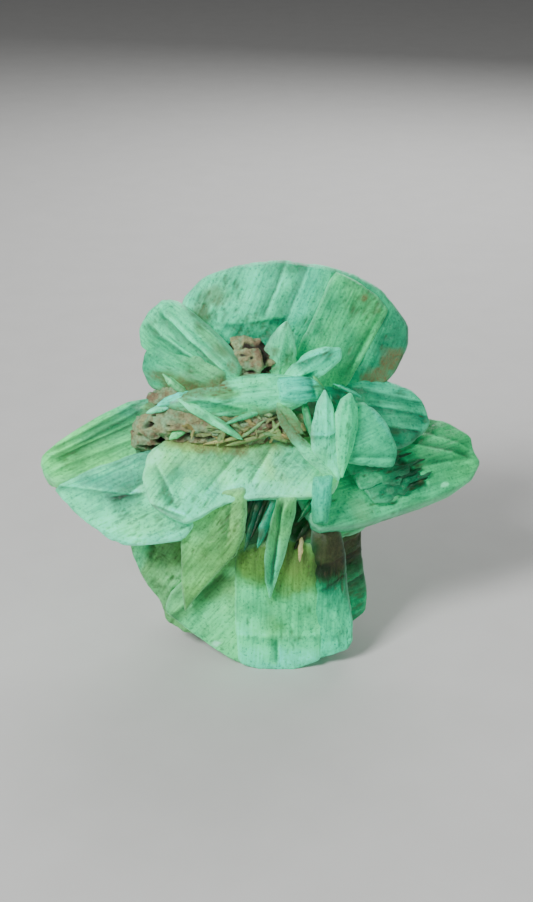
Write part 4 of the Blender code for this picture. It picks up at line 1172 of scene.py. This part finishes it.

# Dark slivers that stand in the cracks of the torn layers as painted shade of the gaps there, with their ends
# measured on the right wing
wingSlivers = [
    ((-3, -4.5, 5.2), (7, -1.5, 4.2), 1.6, 0.8, 10, (0.03, 0.14, 0.10)),
    ((-2, -2.2, 6.2), (6.5, 0.5, 4.6), 1.5, 0.8, 5, (0.05, 0.22, 0.15)),
    ((0, -6.8, 4.4), (8, -4.2, 3.8), 1.5, 0.7, 0, (0.03, 0.12, 0.08)),
    ((2, -1, 5.4), (8.4, 1.2, 4.4), 1.1, 0.6, 15, (0.04, 0.18, 0.12)),
    ((3, -5.4, 4.8), (9.4, -2.8, 4.0), 1.2, 0.6, 20, (0.04, 0.20, 0.14)),
    ((-1, 1.4, 6.4), (5, 3, 5.2), 1.0, 0.6, 0, (0.04, 0.18, 0.13)),
]
tornSlivers = []
for low, high, *rest in wingSlivers:
    tornSlivers.append((onBlade(rightWing, *low), onBlade(rightWing, *high), *rest))
addSplinters("torn_slivers", tornSlivers, 751)

# Small needles strewn through the clay of the hollow
needleValues = {
    "count": 60,
    "middle": (-3, -4.1, 68.4),
    "spread": (16, 4.4),
    "clayFront": 5.5,  # how far the clay's front stands before the middle, mm
    "clayHalf": 5.4,  # half the height of its rounded front, mm
    "sunk": 1.1,  # most that a needle's middle is sunk into it, mm
    "lean": 0.8,
    "length": (2.5, 7),
    "width": (0.7, 1.5),
    "thick": (0.6, 0.9),
    "brown": (0.46, 0.34, 0.22),
    "green": (0.36, 0.46, 0.31),
    "seed": 12,
}


def between(ends, rng):
    # one random draw between two ends
    return ends[0] + rng.random() * (ends[1] - ends[0])


def strewnNeedles(values):
    # random places over an oval on the clay's rounded front, each with a random lean along that front
    rng = np.random.default_rng(values["seed"])
    brown, green = np.array(values["brown"]), np.array(values["green"])
    rows = []
    for _ in range(values["count"]):
        swing, out = rng.random() * math.tau, math.sqrt(rng.random())
        side, climb = values["spread"][0] * out * math.cos(swing), values["spread"][1] * out * math.sin(swing)
        front = values["clayFront"] * math.sqrt(1 - (climb / values["clayHalf"]) ** 2)
        proud = front - values["sunk"] * rng.random()
        middle = np.array(values["middle"]) + np.array([side, -proud, climb])
        lean = rng.normal(0, values["lean"])
        length = between(values["length"], rng)
        way = np.array([math.cos(lean), rng.normal(0, 0.3), math.sin(lean) * 0.9]) * length / 2
        tint = brown + (green - brown) * rng.random()
        width, thick = between(values["width"], rng), between(values["thick"], rng)
        rows.append((middle - way, middle + way, width, thick, rng.random() * 90, tint))
    return rows


addSplinters("hollow_needles", strewnNeedles(needleValues), 761)
print("splinters done")


def addLumps(name, rows, values):
    # Each is a grid of lean from the lower pole by turn about the upright axis: the direction times the
    # lump's half sizes, plus waves and crumbs of noise along the direction, less the depth of the pockets
    points, faces, pockets, seed = [], [], [], values["seed"]
    around, rings = values["grid"]
    first = 0
    for number, (middle, half) in enumerate(rows):
        lean = np.pi * np.arange(1, rings + 1)[:, None] / (rings + 1)
        turn = math.tau * np.arange(around) / around
        flat = [np.sin(lean) * np.cos(turn), np.sin(lean) * np.sin(turn)]
        grid = np.stack([*flat, -np.cos(lean) * np.ones(around)], -1)
        way = np.vstack([[[0, 0, -1.0]], grid.reshape(-1, 3), [[0, 0, 1.0]]])
        body = way * half
        wave = values["wave"] * noiseIn((body + middle) / values["waveSize"], seed + number)
        crumbs = values["crumb"] * noiseIn((body + middle) / 1.3, seed + 40 + number)
        dents = noiseIn((body + middle) / values["pocketSize"], seed + 80 + number, 2)
        pocket = ramp(values["pocketFrom"], 0.22, dents)
        body = body + way * (wave + crumbs - values["pocketDepth"] * pocket)[:, None] + middle
        points.append(body)
        faces.append(stacked(rings, around, first))
        pockets.append(pocket)
        first += len(body)
    points, pocket = np.vstack(points), np.concatenate(pockets)
    marks = {
        # the pocket mask also places the clay material's painted shade
        "pocket": pocket,
        "tint": np.array(values["tint"]) * (1 + 0.3 * noiseIn(points / 5, seed + 99))[:, None],
        "rim": 0 * pocket,
        "dirt": values["dirt"] + 0 * pocket,
        "grain": points,
    }
    return addPiece(name, points, joined(faces), marks, values)


# Lumps of clay, and of the massive crystal inside: (middle, half sizes)
clayFillings = [
    ((-15, -4.0, 68.8), (15, 5.5, 5.6)),
    ((-1, -4.0, 68), (12, 5, 4.8)),
    ((9, -3.5, 67.5), (7, 4.5, 4.3)),
    ((-25, -0.5, 66.5), (9, 7, 4)),
    ((-22, 1, 73), (8, 5.2, 5.6)),
    ((-27, 0.5, 62), (8, 6, 5)),
]
clayCollar = [
    ((-3.2, 4.3, 82.6), (8.2, 5.2, 7)),
    ((-9, 2, 80.5), (8, 4.5, 5)),
]
clayValues = {
    "material": dryClay, "slot": "clay", "nodes": ["clay_hollow"], "grid": (116, 64), "wave": 0.9,
    "waveSize": 4.5, "crumb": 0.5, "pocketFrom": 0.2, "pocketDepth": 2.6, "pocketSize": (3.2, 4, 1.9),
    "tint": (0.2, 0.15, 0.1), "dirt": 0.0, "seed": 801,
}
collarValues = {**clayValues, "nodes": ["clay_collar"], "pocketFrom": 0.5, "pocketDepth": 0.8, "seed": 821}
addLumps("clay_in_hollow", clayFillings, clayValues)
addLumps("clay_in_collar", clayCollar, collarValues)

coreLumps = [
    ((1, 8, 60), (23, 14, 20)),
    ((0, 4.5, 27), (20, 15, 33)),
    ((24, 6, 52), (18, 9, 10)),
    ((-22, 6, 52), (16, 10, 9)),
]
coreValues = {
    "grid": (104, 70), "wave": 1.0, "waveSize": 6, "crumb": 0.35, "pocketFrom": 0.42, "pocketDepth": 2.0,
    "pocketSize": (3.2, 4, 1.9), "tint": (0.06, 0.24, 0.13), "dirt": 0.25, "seed": 841,
}
addLumps("massive_core", coreLumps, coreValues)
print("clay and core done")

# Floor and light
stageValues = {
    "floorColour": (0.50, 0.50, 0.49, 1),
    "floorShade": (0.45, 0.45, 0.44, 1),
    "floorSize": 4.0,
    "worldLight": 0.12,
    # place and size in metres, and power
    "lights": [
        ((-0.42, -0.50, 0.62), 0.24, 11.5),
        ((0.55, -0.45, 0.30), 0.5, 1.5),
        ((0.15, 0.55, 0.45), 0.4, 4.0),
    ],
}


def addStage(values):
    half = values["floorSize"] / 2
    mesh = bpy.data.meshes.new("floor")
    corners = [(-half, -half, 0), (half, -half, 0), (half, half, 0), (-half, half, 0)]
    mesh.from_pydata(corners, [], [(0, 1, 2, 3)])
    shade = Shade("floor")
    grain = shade.noise(shade.add("ShaderNodeTexCoord", {}, {}, "Object"), 60.0)
    colour = shade.blend(grain, values["floorColour"], values["floorShade"])
    shader = shade.add("ShaderNodeBsdfPrincipled", {}, {"Base Color": colour, "Roughness": 0.85})
    mesh.materials.append(shade.finish(shader))
    floor = bpy.data.objects.new("floor", mesh)
    bpy.context.scene.collection.objects.link(floor)
    for number, (place, size, power) in enumerate(values["lights"]):
        light = bpy.data.lights.new(f"soft_light_{number}", "AREA")
        light.size, light.energy = size, power
        holder = bpy.data.objects.new(f"soft_light_{number}", light)
        holder.location = place
        toward = np.array([0, 0, 0.05]) - np.array(place)
        flat = math.hypot(toward[0], toward[1])
        turn = math.atan2(toward[1], toward[0]) - math.pi / 2
        holder.rotation_euler = (math.atan2(flat, -toward[2]), 0, turn)
        bpy.context.scene.collection.objects.link(holder)
    world = bpy.data.worlds.new("studio")
    world.use_nodes = True
    world.node_tree.nodes["Background"].inputs["Color"].default_value = (1, 1, 1, 1)
    world.node_tree.nodes["Background"].inputs["Strength"].default_value = values["worldLight"]
    bpy.context.scene.world = world


addStage(stageValues)
print("stage done")
